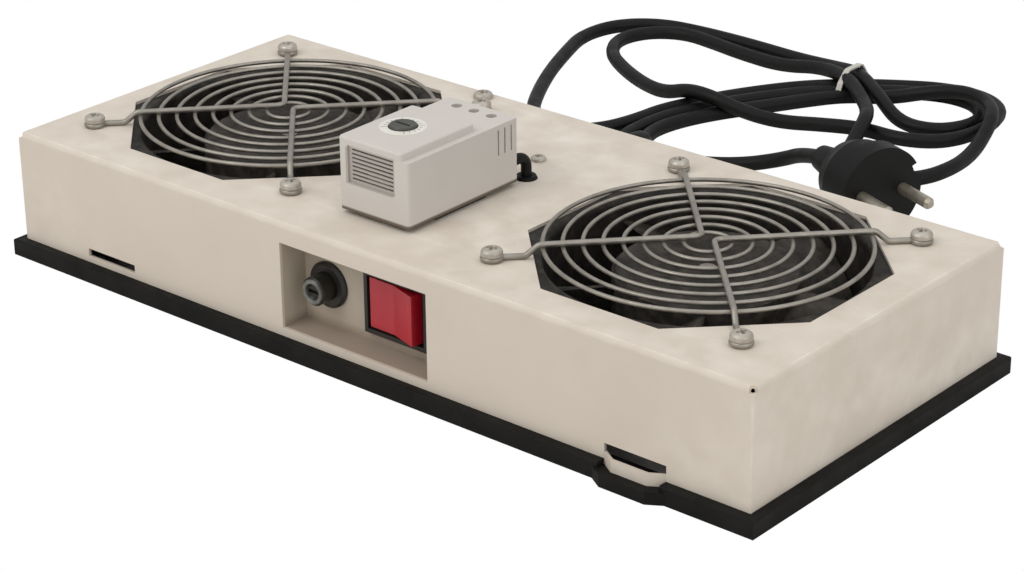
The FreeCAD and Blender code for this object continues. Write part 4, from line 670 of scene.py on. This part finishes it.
def power_cord():
    """The mains cord as one smooth line, with its tie; the plug and its pins are the CAD's own."""
    curve = new_curve("power_cord", CORD_RADIUS, 5, M["cord_rubber"])
    curve.resolution_u = 10
    spline = curve.splines.new("NURBS")
    spline.points.add(len(ROUTE) - 1)
    for point, place in zip(spline.points, ROUTE):
        point.co = (*(part * MM for part in place), 1.0)
    spline.order_u = 3
    spline.use_endpoint_u = True
    piece = add_object("power_cord", curve)
    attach(piece, BODY)
    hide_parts("cord_lead", "cord_hank", "cord_plug_lead")
    cord_tie()


def cord_tie():
    """A thin strap pulled round the five strands."""
    outline = [(TIE_X, y, z) for y, z in TIE_OUTLINE]
    half = Vector((TIE_WIDTH / 2, 0, 0))
    bm = bmesh.new()
    rows = []
    for place in rounded(outline + outline[:2], TIE_CORNER):
        rows.append((bm.verts.new(place * MM - half), bm.verts.new(place * MM + half)))
    for before, after in zip(rows, rows[1:]):
        bm.faces.new((before[0], before[1], after[1], after[0]))
    bmesh.ops.remove_doubles(bm, verts=bm.verts, dist=0.01 * MM)
    bmesh.ops.solidify(bm, geom=bm.faces[:], thickness=TIE_THICKNESS)
    return finish_mesh("cord_tie", bm, M["tie_plastic"])


# ------------------------------------------------------------------ stage, light and camera

FLOOR_HALF_SIDE = 4.0
FLOOR_LEVEL = -0.3 * MM
FLOOR_SHADE = -0.1 * MM  # level of the plain patch under the tray
WORLD_STRENGTH = 0.62
LAMP_TARGET = (0, 0, 0.03)
CAMERA_PLACE = Vector((619.67, -708.23, 437.58)) * MM
CAMERA_AZIMUTH, CAMERA_ELEVATION, CAMERA_ROLL = (math.radians(angle) for angle in (40.637, 24.433, -0.588))
CAMERA_LENS, CAMERA_SENSOR = 98.51, 36.0


def white_to_camera(tree, lit, white, output):
    """The camera sees the white shader, and the light on the part comes from the lit one."""
    path = tree.nodes.new("ShaderNodeLightPath")
    mix = tree.nodes.new("ShaderNodeMixShader")
    tree.links.new(path.outputs["Is Camera Ray"], mix.inputs["Fac"])
    tree.links.new(lit, mix.inputs[1])
    tree.links.new(white, mix.inputs[2])
    tree.links.new(mix.outputs["Shader"], output)


def floor_white():
    """A pale matte floor that the camera sees as even white."""
    material = bpy.data.materials.new("floor_white")
    material.use_nodes = True
    tree = material.node_tree
    tree.nodes.clear()
    out = tree.nodes.new("ShaderNodeOutputMaterial")
    matte = tree.nodes.new("ShaderNodeBsdfDiffuse")
    matte.inputs["Color"].default_value = (0.78, 0.77, 0.75, 1.0)
    glow = tree.nodes.new("ShaderNodeEmission")
    glow.inputs["Color"].default_value = WHITE
    glow.inputs["Strength"].default_value = 1.0
    white_to_camera(tree, matte.outputs["BSDF"], glow.outputs["Emission"], out.inputs["Surface"])
    return material


def floor_plain():
    """A pale matte floor without glow, for the openings that look through the tray."""
    material = bpy.data.materials.new("floor_plain")
    material.use_nodes = True
    shader = material.node_tree.nodes["Principled BSDF"]
    shader.inputs["Base Color"].default_value = (0.6, 0.59, 0.57, 1.0)
    shader.inputs["Roughness"].default_value = 0.9
    return material


def add_stage(name, bm, material):
    """A floor surface, which isn't part of the object."""
    mesh = to_mesh(name, bm)
    mesh.materials.append(material)
    item = add_object(name, mesh)
    return item


def stage():
    """A wide pale floor, plain where the tray covers it, and a pale world."""
    wide = bmesh.new()
    bmesh.ops.create_grid(wide, x_segments=1, y_segments=1, size=FLOOR_HALF_SIDE)
    add_stage("floor", wide, floor_white()).location = (0, 0, FLOOR_LEVEL)
    low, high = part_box("housing")
    patch = bmesh.new()
    corners = [(low[0], low[1]), (high[0], low[1]), (high[0], high[1]), (low[0], high[1])]
    patch.faces.new([patch.verts.new((x, y, FLOOR_SHADE)) for x, y in corners])
    add_stage("floor_under_tray", patch, floor_plain())
    world = bpy.data.worlds.new("studio")
    world.use_nodes = True
    bpy.context.scene.world = world
    tree = world.node_tree
    lit = tree.nodes["Background"]
    lit.inputs["Color"].default_value = WHITE
    lit.inputs["Strength"].default_value = WORLD_STRENGTH
    white = tree.nodes.new("ShaderNodeBackground")
    white.inputs["Color"].default_value = WHITE
    white_to_camera(tree, lit.outputs["Background"], white.outputs["Background"],
                    tree.nodes["World Output"].inputs["Surface"])


def lamp(name, place, side, energy, colour=(1.0, 1.0, 1.0)):
    """A square area lamp that faces the tray."""
    data = bpy.data.lights.new(name, "AREA")
    data.shape = "RECTANGLE"
    data.size = data.size_y = side
    data.energy = energy
    data.color = colour
    item = add_object(name, data)
    item.location = place
    item.rotation_euler = (Vector(LAMP_TARGET) - Vector(place)).to_track_quat("-Z", "Y").to_euler()


def camera():
    """Looks down on the tray's front right corner from a little over a metre away."""
    back = Vector((math.sin(CAMERA_AZIMUTH) * math.cos(CAMERA_ELEVATION),
                   -math.cos(CAMERA_AZIMUTH) * math.cos(CAMERA_ELEVATION), math.sin(CAMERA_ELEVATION)))
    right = Vector((0, 0, 1)).cross(back).normalized()
    up = back.cross(right)
    turned_right = right * math.cos(CAMERA_ROLL) + up * math.sin(CAMERA_ROLL)
    turned_up = up * math.cos(CAMERA_ROLL) - right * math.sin(CAMERA_ROLL)
    data = bpy.data.cameras.new("camera")
    data.sensor_width = CAMERA_SENSOR
    data.lens = CAMERA_LENS
    data.clip_start = 0.01
    item = add_object("camera", data)
    item.matrix_world = Matrix((turned_right, turned_up, back)).transposed().to_4x4()
    item.matrix_world.translation = CAMERA_PLACE
    bpy.context.scene.camera = item


dress_nodes()
dial_scale()
for side_name in ("left", "right"):
    guard(side_name)
all_screws()
power_cord()
stage()
lamp("key", (-0.5, -1.3, 1.5), 1.4, 13.0, (1.0, 0.985, 0.96))
lamp("fill", (1.6, -0.3, 1.0), 1.2, 6.0)
lamp("top", (0.1, 0.5, 1.8), 1.2, 3.5)
camera()
bpy.context.scene.view_settings.view_transform = "Standard"
